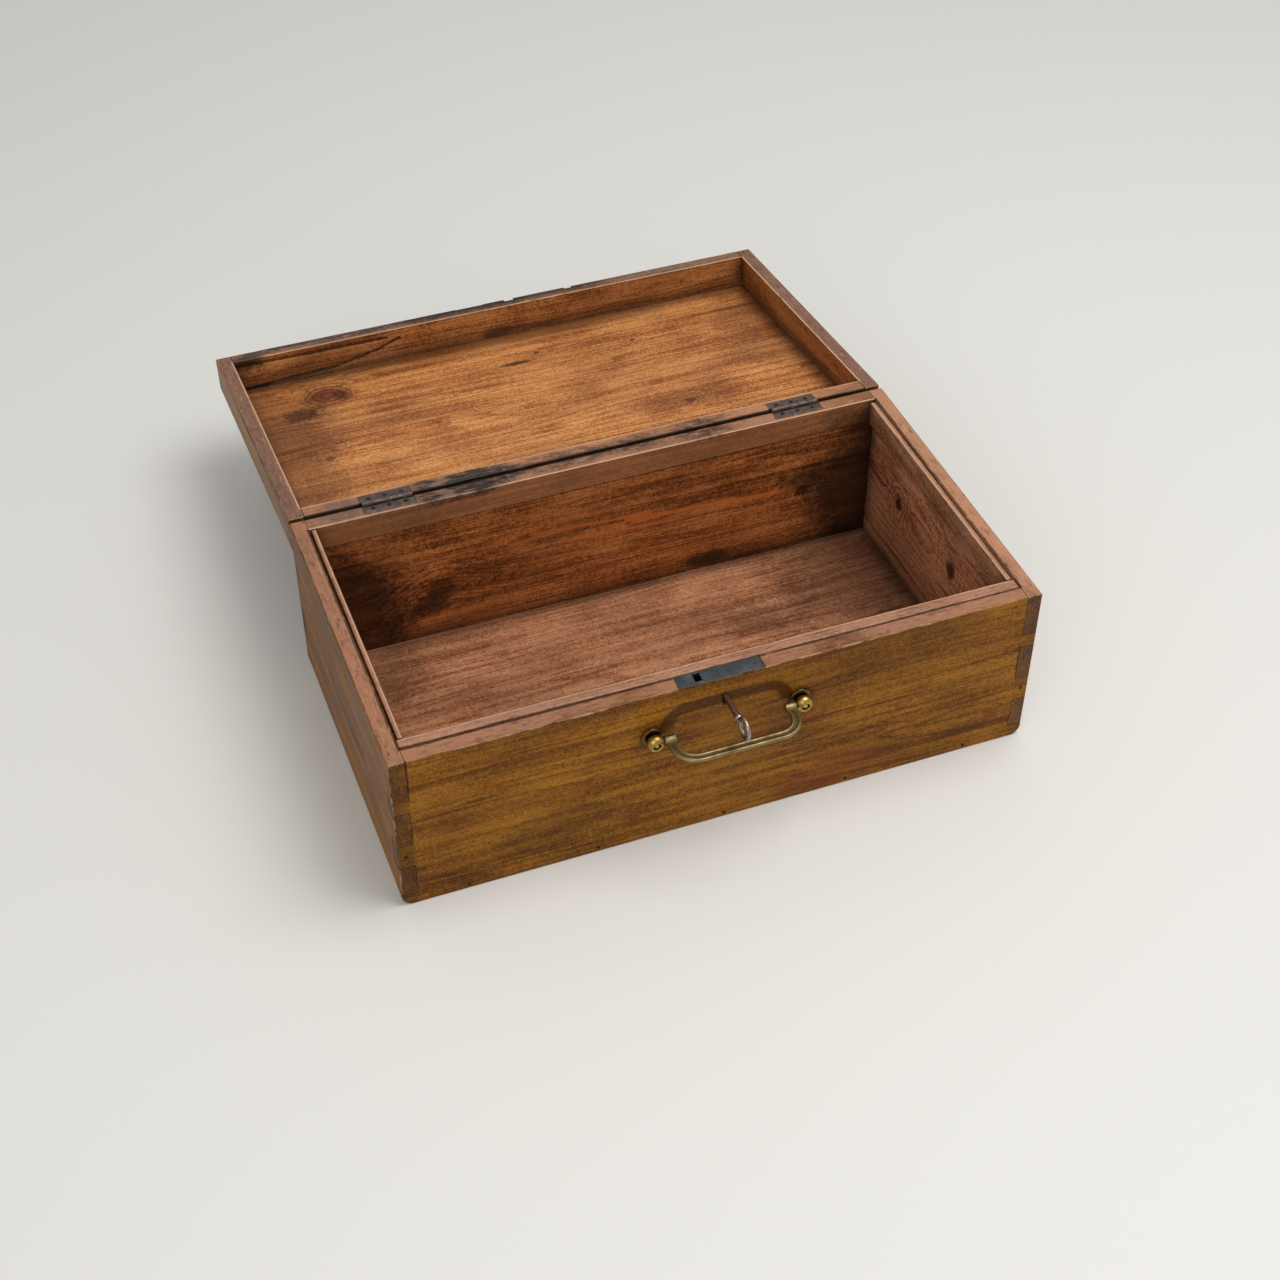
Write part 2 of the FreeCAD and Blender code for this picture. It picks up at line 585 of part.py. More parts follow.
def handle_washers():
    """Round washers under the nuts, inside the box."""
    made = []
    for x in POST_XS:
        ends = (Vector(x, FRONT_INSIDE, HANDLE_Z), Vector(x, FRONT_INSIDE + WASHER_THICKNESS, HANDLE_Z))
        made.append(rod(WASHER_RADIUS, *ends).cut(rod(STUD_RADIUS + STUD_CLEARANCE, *ends)))
    return made


def handle_nuts():
    """Six-sided nuts on the posts' studs, inside the box."""
    corner = NUT_ACROSS_FLATS / math.sqrt(3)
    start = FRONT_INSIDE + WASHER_THICKNESS
    made = []
    for x in POST_XS:
        points = []
        for step in range(6):
            angle = math.radians(60 * step)
            points.append(Vector(x + corner * math.cos(angle), start, HANDLE_Z + corner * math.sin(angle)))
        hole_end = Vector(x, start + NUT_THICKNESS, HANDLE_Z)
        hole = rod(STUD_RADIUS, Vector(x, start, HANDLE_Z), hole_end)
        made.append(prism(points, Vector(0, NUT_THICKNESS, 0)).cut(hole))
    return made


def bail_section():
    """Flat bar with a round bead along each edge, in the XY plane."""
    edge = BAIL_BAR_WIDTH / 2
    half = BAIL_WEB_THICKNESS / 2
    foot = edge - BAIL_BEAD_RADIUS - math.sqrt(BAIL_BEAD_RADIUS ** 2 - half ** 2)
    edges = []
    for side in (-1, 1):
        start = Vector(side * foot, -side * half, 0)
        end = Vector(side * foot, side * half, 0)
        edges.append(Part.Arc(start, Vector(side * edge, 0, 0), end).toShape())
        edges.append(Part.LineSegment(end, Vector(-side * foot, side * half, 0)).toShape())
    return Part.Face(Part.Wire(edges))


def handle_bail():
    """Bail of beaded bar: two arms, two bends and a straight grip, pinned into the posts."""
    section = bail_section()
    drop = BAIL_REACH - BAIL_CORNER_RADIUS
    grip = BAIL_ARM_X - BAIL_CORNER_RADIUS
    pieces = []
    for side in (-1, 1):
        arm = section.copy()
        arm.translate(Vector(side * BAIL_ARM_X, 0, 0))
        pieces.append(arm.extrude(Vector(0, 0, -drop)))
        bend = arm.copy()
        bend.translate(Vector(0, 0, -drop))
        pieces.append(bend.revolve(Vector(side * grip, 0, -drop), Vector(0, side, 0), 90))
        inner = side * (BAIL_ARM_X - BAIL_BAR_WIDTH / 2)
        outer = side * (BAIL_ARM_X + BAIL_BAR_WIDTH / 2)
        tip = outer + side * (BAIL_PIN_LENGTH + BAIL_SIDE_GAP - RUNNING_CLEARANCE)
        pieces.append(rod(BAIL_BAR_WIDTH / 2, Vector(inner, 0, 0), Vector(outer, 0, 0)))
        pieces.append(rod(BAIL_PIN_RADIUS, Vector(inner, 0, 0), Vector(tip, 0, 0)))
    middle = section.copy()
    middle.rotate(Vector(0, 0, 0), Vector(0, 1, 0), 90)
    middle.translate(Vector(-grip, 0, -BAIL_REACH))
    pieces.append(middle.extrude(Vector(2 * grip, 0, 0)))
    bail = fuse(pieces)
    bail.rotate(Vector(0, 0, 0), Vector(1, 0, 0), -BAIL_REST_ANGLE)
    bail.translate(PIVOT)
    return bail


def rim_strips():
    """Strips nailed inside the rim at the front and both sides, sprung from the boards at the top."""
    top = RIM - STRIP_DROP
    z = (top - STRIP_HEIGHT, top)
    sprung = Vector(0, 0, SPRUNG_DEPTH)
    level = top - SPRUNG_DEPTH
    front_y = (FRONT_INSIDE, FRONT_INSIDE + FRONT_STRIP_THICKNESS)
    front = block((-SIDE_INSIDE, SIDE_INSIDE), front_y, z)
    front_gap = [
        Vector(-SIDE_INSIDE, FRONT_INSIDE, level),
        Vector(SIDE_INSIDE, FRONT_INSIDE, level),
        Vector(SIDE_INSIDE, FRONT_INSIDE + FRONT_SPRUNG_RIGHT, level),
        Vector(-SIDE_INSIDE, FRONT_INSIDE + FRONT_SPRUNG_LEFT, level),
    ]
    edge = SIDE_INSIDE - SIDE_STRIP_THICKNESS
    left_y = (front_y[1], BACK_INSIDE)
    right_y = (front_y[1], BACK_INSIDE - RIGHT_STRIP_SHORT)
    left = block((-SIDE_INSIDE, -edge), left_y, z)
    right = block((edge, SIDE_INSIDE), right_y, z)
    left_gap = block((-SIDE_INSIDE, LEFT_SPRUNG - SIDE_INSIDE), left_y, (level, top))
    right_gap = block((SIDE_INSIDE - RIGHT_SPRUNG, SIDE_INSIDE), right_y, (level, top))
    return {
        "front_rim_strip": front.cut(prism(front_gap, sprung)),
        "left_rim_strip": left.cut(left_gap),
        "right_rim_strip": right.cut(right_gap),
    }


def rim_chips():
    """Splinters gone from the outer rim edge of the lid's front rail."""
    chips = []
    for middle, length, depth in RIM_CHIPS:
        points = [
            Vector(middle - length / 2, FRONT, LID_RIM),
            Vector(middle - length / 2, FRONT + depth, LID_RIM),
            Vector(middle - length / 2, FRONT, LID_RIM + 1.5 * depth),
        ]
        chips.append(prism(points, Vector(length, 0, 0)))
    return chips


def box_nodes():
    """Everything that is fixed to the box."""
    z = (0.0, BOX_HEIGHT)
    spans = tail_spans(BOX_PINS_AND_TAILS, z, 1)
    boards = dovetailed_frame(z, SIDE_THICKNESS, FRONT_THICKNESS, spans,
                              worn_envelope(z, END_WEAR, RIM_END_WEAR))
    bottom = block((-SIDE_INSIDE, SIDE_INSIDE), (FRONT_INSIDE, BACK_INSIDE), (0.0, BOTTOM_THICKNESS))
    strips = rim_strips()

    corners, bottoms, pins = corner_nails(), bottom_nails(), strip_pins()
    plate_screws = []
    screw_rooms = []
    for place in lock_plate_screw_places():
        plate_screws.append(aimed(screw(SCREW_LENGTH), place, Vector(0, 0, -1)))
        screw_rooms.append(aimed(screw_room(SCREW_LENGTH), place, Vector(0, 0, -1)))
    stud_holes = []
    for x in POST_XS:
        ends = (Vector(x, FRONT, HANDLE_Z), Vector(x, FRONT_INSIDE, HANDLE_Z))
        stud_holes.append(rod(STUD_RADIUS + STUD_CLEARANCE, *ends))
    lock_room = [
        lock_plate_outline((LOCK_PLATE_UNDERSIDE, RIM)),
        block(LOCK_CASE_X, (LOCK_FRONT, FRONT_INSIDE), LOCK_CASE_Z),
        keyhole(FRONT, LOCK_FRONT),
    ]
    nodes = {
        "left_handle_post": handle_post(POST_XS[0]),
        "right_handle_post": handle_post(POST_XS[1]),
        "handle_washers": Part.makeCompound(handle_washers()),
        "handle_nuts": Part.makeCompound(handle_nuts()),
        "lock_plate": lock_plate(),
        "lock_case": lock_case(),
        "lock_cover": lock_cover(),
        "lock_spring": lock_spring(),
        "lock_screws": Part.makeCompound(plate_screws),
        "corner_nails": Part.makeCompound(corners),
        "bottom_nails": Part.makeCompound(bottoms),
        "strip_pins": Part.makeCompound(pins),
    }
    recesses, leaf_screws, leaf_rooms = [], [], []
    for name, middle in HINGE_XS.items():
        leaf, _, pin, rooms = hinge(middle)
        heads = hinge_screw_places(middle)[0]
        holes = [aimed(screw_room(SCREW_LENGTH), place, Vector(0, 0, -1)) for place in heads]
        leaf_screws += [aimed(screw(SCREW_LENGTH), place, Vector(0, 0, -1)) for place in heads]
        nodes[name + "_hinge_box_leaf"] = leaf.cut(holes)
        nodes[name + "_hinge_pin"] = pin
        recesses.append(rooms[0])
        leaf_rooms += holes
    nodes["box_hinge_screws"] = Part.makeCompound(leaf_screws)
    front_rooms = lock_room + stud_holes + screw_rooms + corners + bottoms + pins
    nodes["front_board"] = boards["front"].cut(front_rooms)
    nodes["back_board"] = boards["back"].cut(recesses + leaf_rooms + corners + bottoms)
    nodes["left_side"] = boards["left"].cut(corners + pins)
    nodes["right_side"] = boards["right"].cut(corners + pins)
    nodes["bottom_board"] = bottom.cut(bottoms)
    for name, strip in strips.items():
        nodes[name] = strip.cut(pins)
    return nodes


def lid_nodes():
    """Everything that is fixed to the lid, built shut."""
    rails_z = (LID_RIM, LID_PANEL_UNDERSIDE)
    spans = tail_spans(LID_TAIL_AND_PIN, rails_z, 0)
    envelope = worn_envelope((LID_RIM, LID_TOP), RIM_END_WEAR, END_WEAR)
    rails = dovetailed_frame(rails_z, LID_RAIL_THICKNESS, LID_RAIL_THICKNESS, spans, envelope)
    panel = block((-HALF_LENGTH, HALF_LENGTH), (FRONT, BACK), (LID_PANEL_UNDERSIDE, LID_TOP))
    nails = lid_panel_nails()
    nodes = {"lid_panel": panel.common(envelope).cut(nails), "lid_panel_nails": Part.makeCompound(nails)}
    recesses, screws, holes = [], [], []
    for name, middle in HINGE_XS.items():
        _, leaf, _, rooms = hinge(middle)
        heads = hinge_screw_places(middle)[1]
        own = [aimed(screw_room(SCREW_LENGTH), place, Vector(0, 0, 1)) for place in heads]
        screws += [aimed(screw(SCREW_LENGTH), place, Vector(0, 0, 1)) for place in heads]
        nodes[name + "_hinge_lid_leaf"] = leaf.cut(own)
        recesses.append(rooms[1])
        holes += own
    nodes["lid_hinge_screws"] = Part.makeCompound(screws)
    nodes["lid_front_rail"] = rails["front"].cut(nails + rim_chips())
    nodes["lid_back_rail"] = rails["back"].cut(nails + recesses + holes)
    nodes["lid_left_rail"] = rails["left"].cut(nails)
    nodes["lid_right_rail"] = rails["right"].cut(nails)
    return nodes


def main():
    nodes = box_nodes()
    open_angle = lid_open_angle()
    for name, shape in lid_nodes().items():
        opened = shape.copy()
        opened.rotate(Vector(0, HINGE_Y, HINGE_Z), Vector(1, 0, 0), -open_angle)
        nodes[name] = opened
    nodes["handle_bail"] = handle_bail()
    nodes["lock_bolt"] = lock_bolt()
    nodes["key"] = key()

    os.makedirs("parts", exist_ok=True)
    for name, shape in nodes.items():
        shape.exportStep("parts/" + name + ".step")
        print(name, len(shape.Solids), "solids", round(shape.Volume, 1), "mm3", shape.isValid())
    print("lid opens", round(open_angle, 3), "degrees about y", HINGE_Y, "z", HINGE_Z)
    print("bail turns about", tuple(PIVOT), "and the key about x", KEY_X, "z", KEY_Z)


main()
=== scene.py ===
# %% [markdown]
# # An old dovetailed box
#
# The CAD model gives this box its shapes: each board, strip, hinge leaf, nail and screw is a solid with
# a real size. Blender adds what a solid can't hold, which is the softened arrises, the pine with its
# rings and knots, the marks of long use, the tarnish on the metal, and a plain studio to see it in.

import json
import math

import bmesh
import bpy
from mathutils import Matrix, Vector
from mathutils import noise as wander
from mathutils.bvhtree import BVHTree

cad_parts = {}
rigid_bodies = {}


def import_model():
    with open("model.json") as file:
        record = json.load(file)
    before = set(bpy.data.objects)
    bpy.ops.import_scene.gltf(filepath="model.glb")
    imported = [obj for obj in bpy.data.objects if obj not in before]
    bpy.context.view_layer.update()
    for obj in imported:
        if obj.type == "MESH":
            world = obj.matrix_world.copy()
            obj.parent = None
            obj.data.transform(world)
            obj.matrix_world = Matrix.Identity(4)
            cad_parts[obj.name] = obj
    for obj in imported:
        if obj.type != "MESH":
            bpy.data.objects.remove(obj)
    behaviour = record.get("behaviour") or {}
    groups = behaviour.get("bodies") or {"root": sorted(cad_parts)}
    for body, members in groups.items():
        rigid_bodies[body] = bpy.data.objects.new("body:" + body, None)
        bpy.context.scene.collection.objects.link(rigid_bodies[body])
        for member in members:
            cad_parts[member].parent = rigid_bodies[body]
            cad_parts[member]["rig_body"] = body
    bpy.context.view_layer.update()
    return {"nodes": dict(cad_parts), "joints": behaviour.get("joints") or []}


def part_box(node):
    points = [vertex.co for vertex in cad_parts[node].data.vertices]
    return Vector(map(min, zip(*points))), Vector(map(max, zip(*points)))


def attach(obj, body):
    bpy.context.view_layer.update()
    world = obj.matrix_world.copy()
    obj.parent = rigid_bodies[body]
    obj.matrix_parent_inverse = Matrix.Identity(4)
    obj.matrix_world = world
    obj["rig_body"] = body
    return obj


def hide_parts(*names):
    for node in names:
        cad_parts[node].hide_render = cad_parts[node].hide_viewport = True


for leftover in list(bpy.data.objects):
    bpy.data.objects.remove(leftover)
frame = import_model()

# %% [markdown]
# Blender works in metres, and a joiner thinks in millimetres. The marks on the wood are placed in
# millimetres from the box's own corners, so the corners are read from the nodes first.
#
# The lid is photographed open. Its marks are easier to place with the lid shut, square to the box, so
# the turn that shuts it is kept here too.

# %% Measure the box and the lid
MM = 0.001


def corners(node):
    """Lowest and highest corner of a node at rest, in millimetres."""
    low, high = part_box(node)
    return low / MM, high / MM


front_low, front_high = corners("front_board")
back_low, back_high = corners("back_board")
RIM = front_high.z
FRONT, FRONT_INSIDE = front_low.y, front_high.y
BACK, BACK_INSIDE = back_high.y, back_low.y
SIDE, SIDE_INSIDE = front_high.x, corners("right_side")[0].x
FLOOR = corners("bottom_board")[1].z

joints = {joint["name"]: joint for joint in frame["joints"]}
OPEN_ANGLE = math.radians(joints["lid_hinge"]["range_deg"][1])
hinge_place = Vector(joints["lid_hinge"]["pos_m"]) / MM
shut_turn = Matrix.Rotation(OPEN_ANGLE, 3, "X")
shut_shift = hinge_place - shut_turn @ hinge_place


def shut_place(point):
    """Where a point of the open lid lies with the lid shut, in millimetres."""
    return shut_turn @ (point / MM) + shut_shift


def shut_corners(node):
    """The same two corners for a piece of the lid, with the lid shut."""
    places = [shut_place(vertex.co) for vertex in frame["nodes"][node].data.vertices]
    low = Vector(min(p[axis] for p in places) for axis in range(3))
    high = Vector(max(p[axis] for p in places) for axis in range(3))
    return low, high


LID_RIM = shut_corners("lid_front_rail")[0].z
LID_CEILING, LID_TOP = (corner.z for corner in shut_corners("lid_panel"))
LID_INSIDE = shut_corners("lid_right_rail")[0].x
print("box", [round(length) for length in (2 * SIDE, BACK - FRONT, RIM)], "lid", round(LID_TOP - LID_RIM))

# %% [markdown]
# A node material is a small program: sockets pass numbers and colours along, and the last node is the
# shader. Building one in code is tedious node by node, so this class keeps a material's tree and gives
# short names to the few things that every finish here needs.

# %% A short hand for node materials
def tone(red, green, blue):
    """A colour as a picture gives it, 0 to 255, turned into the light that a shader mixes."""
    levels = (level / 255 for level in (red, green, blue))
    return (*(x / 12.92 if x <= 0.04045 else ((x + 0.055) / 1.055) ** 2.4 for x in levels), 1.0)


class Finish:
    """A material's node tree, with short ways to add the nodes that the finishes share."""

    def __init__(self, name):
        self.material = bpy.data.materials.new(name)
        self.material.use_nodes = True
        self.tree = self.material.node_tree
        self.tree.nodes.clear()
        self.shader = self.add("BsdfPrincipled", {})
        self.add("OutputMaterial", {"Surface": self.shader.outputs["BSDF"]})
        self.coordinates = self.add("TexCoord", {})

    def add(self, kind, inputs, **settings):
        """A node, with each input joined to another node's output or set to a value."""
        node = self.tree.nodes.new("ShaderNode" + kind)
        for name, value in settings.items():
            setattr(node, name, value)
        for name, value in inputs.items():
            self.put(node.inputs[name], value)
        return node

    def put(self, socket, value):
        """Joins a socket to an output, or sets it to a value."""
        if isinstance(value, bpy.types.NodeSocket):
            self.tree.links.new(value, socket)
        else:
            socket.default_value = value

    def math(self, operation, first, second=0.0, third=0.0):
        node = self.add("Math", {0: first, 1: second, 2: third}, operation=operation)
        return node.outputs[0]

    def times(self, first, second):
        return self.math("MULTIPLY", first, second)

    def plus(self, start, layer, share):
        """A value with a share of a layer added to it."""
        return self.math("MULTIPLY_ADD", layer, share, start)

    def apart(self, first, second):
        """How far apart two values are."""
        return self.math("ABSOLUTE", self.math("SUBTRACT", first, second))

    def vector(self, operation, first, second=(0, 0, 0)):
        node = self.add("VectorMath", {0: first, 1: second}, operation=operation)
        return node.outputs["Value" if operation in ("LENGTH", "DOT_PRODUCT") else "Vector"]

    def parts(self, vector):
        return self.add("SeparateXYZ", {0: vector}).outputs

    def noise(self, vector, detail=2.0, roughness=0.5, colour=False):
        inputs = {"Vector": vector, "Scale": 1.0, "Detail": detail, "Roughness": roughness}
        return self.add("TexNoise", inputs).outputs[1 if colour else 0]

    def rise(self, value, start, end):
        """A soft step from 0 at start to 1 at end, which may run downwards."""
        inputs = {"Value": value, "From Min": start, "From Max": end}
        return self.add("MapRange", inputs, interpolation_type="SMOOTHSTEP").outputs[0]

    def mix(self, share, first, second):
        node = self.add("Mix", {0: share, 6: first, 7: second}, data_type="RGBA")
        return node.outputs[2]

    def ramp(self, value, *stops):
        node = self.add("ValToRGB", {0: value})
        elements = node.color_ramp.elements
        for index, (place, colour) in enumerate(stops):
            element = elements[index] if index < 2 else elements.new(place)
            element.position = place
            element.color = colour
        return node.outputs[0]

    def marked(self, name):
        """The value that a piece carries at its points under this name."""
        return self.add("Attribute", {}, attribute_name=name).outputs["Fac"]

    def place_in_millimetres(self, lid=False):
        """Where a point is on the box, in millimetres, and for the lid as if it were shut."""
        scaled = self.vector("SCALE", self.coordinates.outputs["Object"])
        scaled.node.inputs["Scale"].default_value = 1 / MM
        if not lid:
            return scaled
        inputs = {"Vector": scaled, "Location": shut_shift, "Rotation": (OPEN_ANGLE, 0, 0)}
        return self.add("Mapping", inputs).outputs[0]


print("the lid shuts by", round(math.degrees(OPEN_ANGLE), 1), "degrees")

# %% [markdown]
# ## Pine
#
# A plank is a slice through a trunk. If the finish follows the trunk, with rings around a pith line that
# runs beside the plank, then the face gets wide arches, the edges get fine lines and the end gets arcs,
# and all of them meet at the corners without any unwrapping. A knot is a branch: the rings swell around
# it, which is a bump added to the distance from the pith.
#
# Fibres, streaks and blotches are noise stretched along the grain. Age comes after, one layer on another.
# Only the outside was ever oiled, so the same grain is coloured twice, and the depth below the outer
# faces chooses between the two.

# %% The grain of a plank
OILED_TONES = tone(86, 47, 6), tone(131, 80, 14), tone(166, 112, 33)
FLECK_TONE, KNOT_TONE = tone(48, 24, 10), tone(56, 22, 10)
END_TONE, PORE_TONE = tone(58, 31, 13), tone(40, 22, 10)
GRAIN_START = -1.04
GRAIN_SHARES = 0.65, 0.75, 0.5, 0.8, 0.5, -0.18


class Pine(Finish):
    """Old pine, from the rings outwards, with layers of age added by its methods."""

    def __init__(self, name, grain, pith, tones, knots=(), lid=False, ring=3.6, oiled=None):
        super().__init__(name)
        self.place = self.place_in_millimetres(lid)
        self.x, self.y, self.z = self.parts(self.place)
        quarter = -math.pi / 2 if grain == "Y" else 0.0
        self.along = self.add("Mapping", {"Vector": self.place, "Rotation": (0, 0, quarter)}).outputs[0]
        self.cloud = self.noise(self.stretch(55, 38), detail=4.0)
        self.grit = self.noise(self.stretch(3.5, 3.5), detail=3.0, roughness=0.65)
        rings, cores = self.rings(pith, ring, knots)
        fibre = self.noise(self.stretch(60, 0.8), detail=4.0, roughness=0.62)
        streak = self.noise(self.stretch(340, 7), detail=3.0, roughness=0.55)
        speck = self.noise(self.stretch(1.5, 0.9), detail=2.0)
        layers = (streak, fibre, self.cloud, speck, self.grit, rings)
        value = GRAIN_START
        for layer, share in zip(layers, GRAIN_SHARES):
            value = self.plus(value, layer, share)
        self.colour = self.graded(value, tones)
        if oiled:
            outside = self.rise(self.face_distances(*oiled)[0], 1.4, 0.7)
            self.colour = self.mix(outside, self.colour, self.graded(value, OILED_TONES))
        self.height = self.plus(self.times(rings, 0.3), fibre, 0.9)
        self.roughness = self.plus(0.26, self.cloud, 0.35)
        lines = self.rise(self.noise(self.stretch(110, 1.3), detail=2.0), 0.6, 0.72)
        self.stain(lines, tones[0], 0.55)
        flecks = self.rise(self.noise(self.stretch(10, 0.8), detail=2.0), 0.6, 0.7)
        self.stain(flecks, FLECK_TONE, 0.4)
        self.end_grain(grain)
        for core in cores:
            self.stain(core, KNOT_TONE, 0.72)

    def graded(self, value, tones):
        """The dark, middle and light tones of a wood, laid out along a value."""
        dark, middle, light = tones
        return self.ramp(value, (0.28, dark), (0.76, light), (0.52, middle))

    def stretch(self, along, across):
        """Coordinates that make noise of about these lengths along and across the grain."""
        return self.vector("MULTIPLY", self.along, (1 / along, 1 / across, 1 / across))

    def rings(self, pith, ring, knots):
        """Late wood's dark lines around the pith, and the cores of the knots that push them aside."""
        bend = self.noise(self.stretch(240, 70), detail=2.0, colour=True)
        bend = self.vector("MULTIPLY", self.vector("SUBTRACT", bend, (0.5, 0.5, 0.5)), (0, 24, 24))
        across = self.vector("ADD", self.vector("SUBTRACT", self.along, (0, *pith)), bend)
        radius = self.vector("LENGTH", self.vector("MULTIPLY", across, (0, 1, 1)))
        cores = []
        for centre, reach in knots:
            near = self.nearness(centre, reach)
            swell = self.math("EXPONENT", self.times(self.times(near, near), -0.35))
            radius = self.plus(radius, swell, 4.5 * ring)
            cores.append(self.rise(self.plus(self.grit, near, 1.4), 1.75, 0.95))
        uneven = self.noise(self.vector("MULTIPLY", across, (0, 0.06, 0.06)), detail=1.0)
        phase = self.plus(self.times(uneven, 5.0), radius, 1 / ring)
        turn = self.math("FRACT", phase)
        late = self.times(self.rise(turn, 0.3, 0.92), self.rise(turn, 1.0, 0.92))
        fading = self.rise(self.noise(self.stretch(190, 24), detail=2.0), 0.3, 0.62)
        return self.times(late, fading), cores

    def nearness(self, centre, reach):
        """Distance from a centre, where 1 is the reach. A reach of 0 ignores that axis."""
        scale = tuple(1 / r if r else 0.0 for r in reach)
        away = self.vector("SUBTRACT", self.place, centre)
        return self.vector("LENGTH", self.vector("MULTIPLY", away, scale))

    def end_grain(self, grain):
        """Darker, thirstier wood where the boards' ends show."""
        axis = (1, 0, 0) if grain == "X" else (0, 1, 0)
        facing = self.vector("DOT_PRODUCT", self.coordinates.outputs["Normal"], axis)
        ends = self.rise(self.math("ABSOLUTE", facing), 0.6, 0.85)
        pores = self.rise(self.noise(self.vector("MULTIPLY", self.place, (0.9, 0.9, 0.9)), 2.0), 0.35, 0.65)
        self.stain(ends, END_TONE, 0.42)
        self.stain(self.times(ends, pores), PORE_TONE, 0.35)

    def stain(self, mask, colour, strength=1.0):
        """Lays a colour over the wood where the mask is."""
        self.colour = self.mix(self.times(mask, strength), self.colour, colour)

    def dent(self, mask, depth):
        """Sinks the surface where the mask is, and roughens it a little."""
        self.height = self.plus(self.height, mask, -depth)
        self.roughness = self.plus(self.roughness, mask, 0.15)

    def blot(self, centre, reach, raggedness):
        """A ragged patch, 1 in its middle."""
        edge = self.plus(self.nearness(centre, reach), self.cloud, raggedness)
        edge = self.plus(edge, self.grit, raggedness / 2)
        middle = 0.75 * raggedness
        return self.rise(edge, 1.0 + middle, 0.4 + middle)

    def patches(self, *marks):
        """Stains ragged patches, each given as centre, reach, raggedness, colour and strength."""
        for centre, reach, raggedness, colour, strength in marks:
            self.stain(self.blot(centre, reach, raggedness), colour, strength)

    def face_distances(self, low, high):
        """Distances from the nearest and from the second nearest face of a box."""
        centre, half = (Vector(low) + Vector(high)) / 2, (Vector(high) - Vector(low)) / 2
        offset = self.vector("ABSOLUTE", self.vector("SUBTRACT", self.place, centre))
        x, y, z = self.parts(self.vector("SUBTRACT", half, offset))
        smaller, larger = self.math("MINIMUM", x, y), self.math("MAXIMUM", x, y)
        nearest = self.math("MINIMUM", smaller, z)
        second = self.math("MAXIMUM", smaller, self.math("MINIMUM", larger, z))
        return nearest, second

    def close(self, bump=0.16, shine=0.22):
        """Joins the layers to the shader."""
        self.put(self.shader.inputs["Base Color"], self.colour)
        self.put(self.shader.inputs["Roughness"], self.roughness)
        relief = {"Height": self.height, "Strength": 0.6, "Distance": bump * MM}
        self.put(self.shader.inputs["Normal"], self.add("Bump", relief).outputs[0])
        self.shader.inputs["Specular IOR Level"].default_value = shine
        self.shader.inputs["Coat Weight"].default_value = shine / 6
        self.shader.inputs["Coat Roughness"].default_value = 0.3
        print("finish", self.material.name, "has", len(self.tree.nodes), "nodes")
        return self.material


print("the grain of a plank has", len(GRAIN_SHARES), "layers")

# %% [markdown]
# ## Wear that every board shares
#
# Hands and lids polish the arrises pale, the rim goes grey, dirt gathers where the walls meet the floor,
# and small dark pits are everywhere. The distance to the nearest edge of a box is the middle one of the
# three distances to its faces, so an outer edge and an inner corner come from the same few nodes.

# %% The marks of long use
# The dark tone is dirt, and also painted shade where it darkens gaps, grooves, cracks and shaded ends.
WORN_TONE, DIRT_AND_SHADE_TONE = tone(212, 168, 134), tone(26, 16, 10)
HANDLED_TONE, SCUFF_TONE = tone(58, 30, 10), tone(58, 38, 30)


def pits(wood, spacing, share, radius, strength):
    """Small dark pits, in a share of the cells of a loose grid."""
    cells = wood.add("TexVoronoi", {"Vector": wood.place, "Scale": 1 / spacing})
    chosen = wood.rise(wood.parts(cells.outputs["Color"])[0], 1.0 - share, 1.02 - share)
    distance = wood.times(cells.outputs["Distance"], spacing)
    spots = wood.times(chosen, wood.rise(distance, radius * 1.4, radius * 0.6))
    wood.stain(spots, DIRT_AND_SHADE_TONE, strength)
    wood.dent(spots, 2.0)


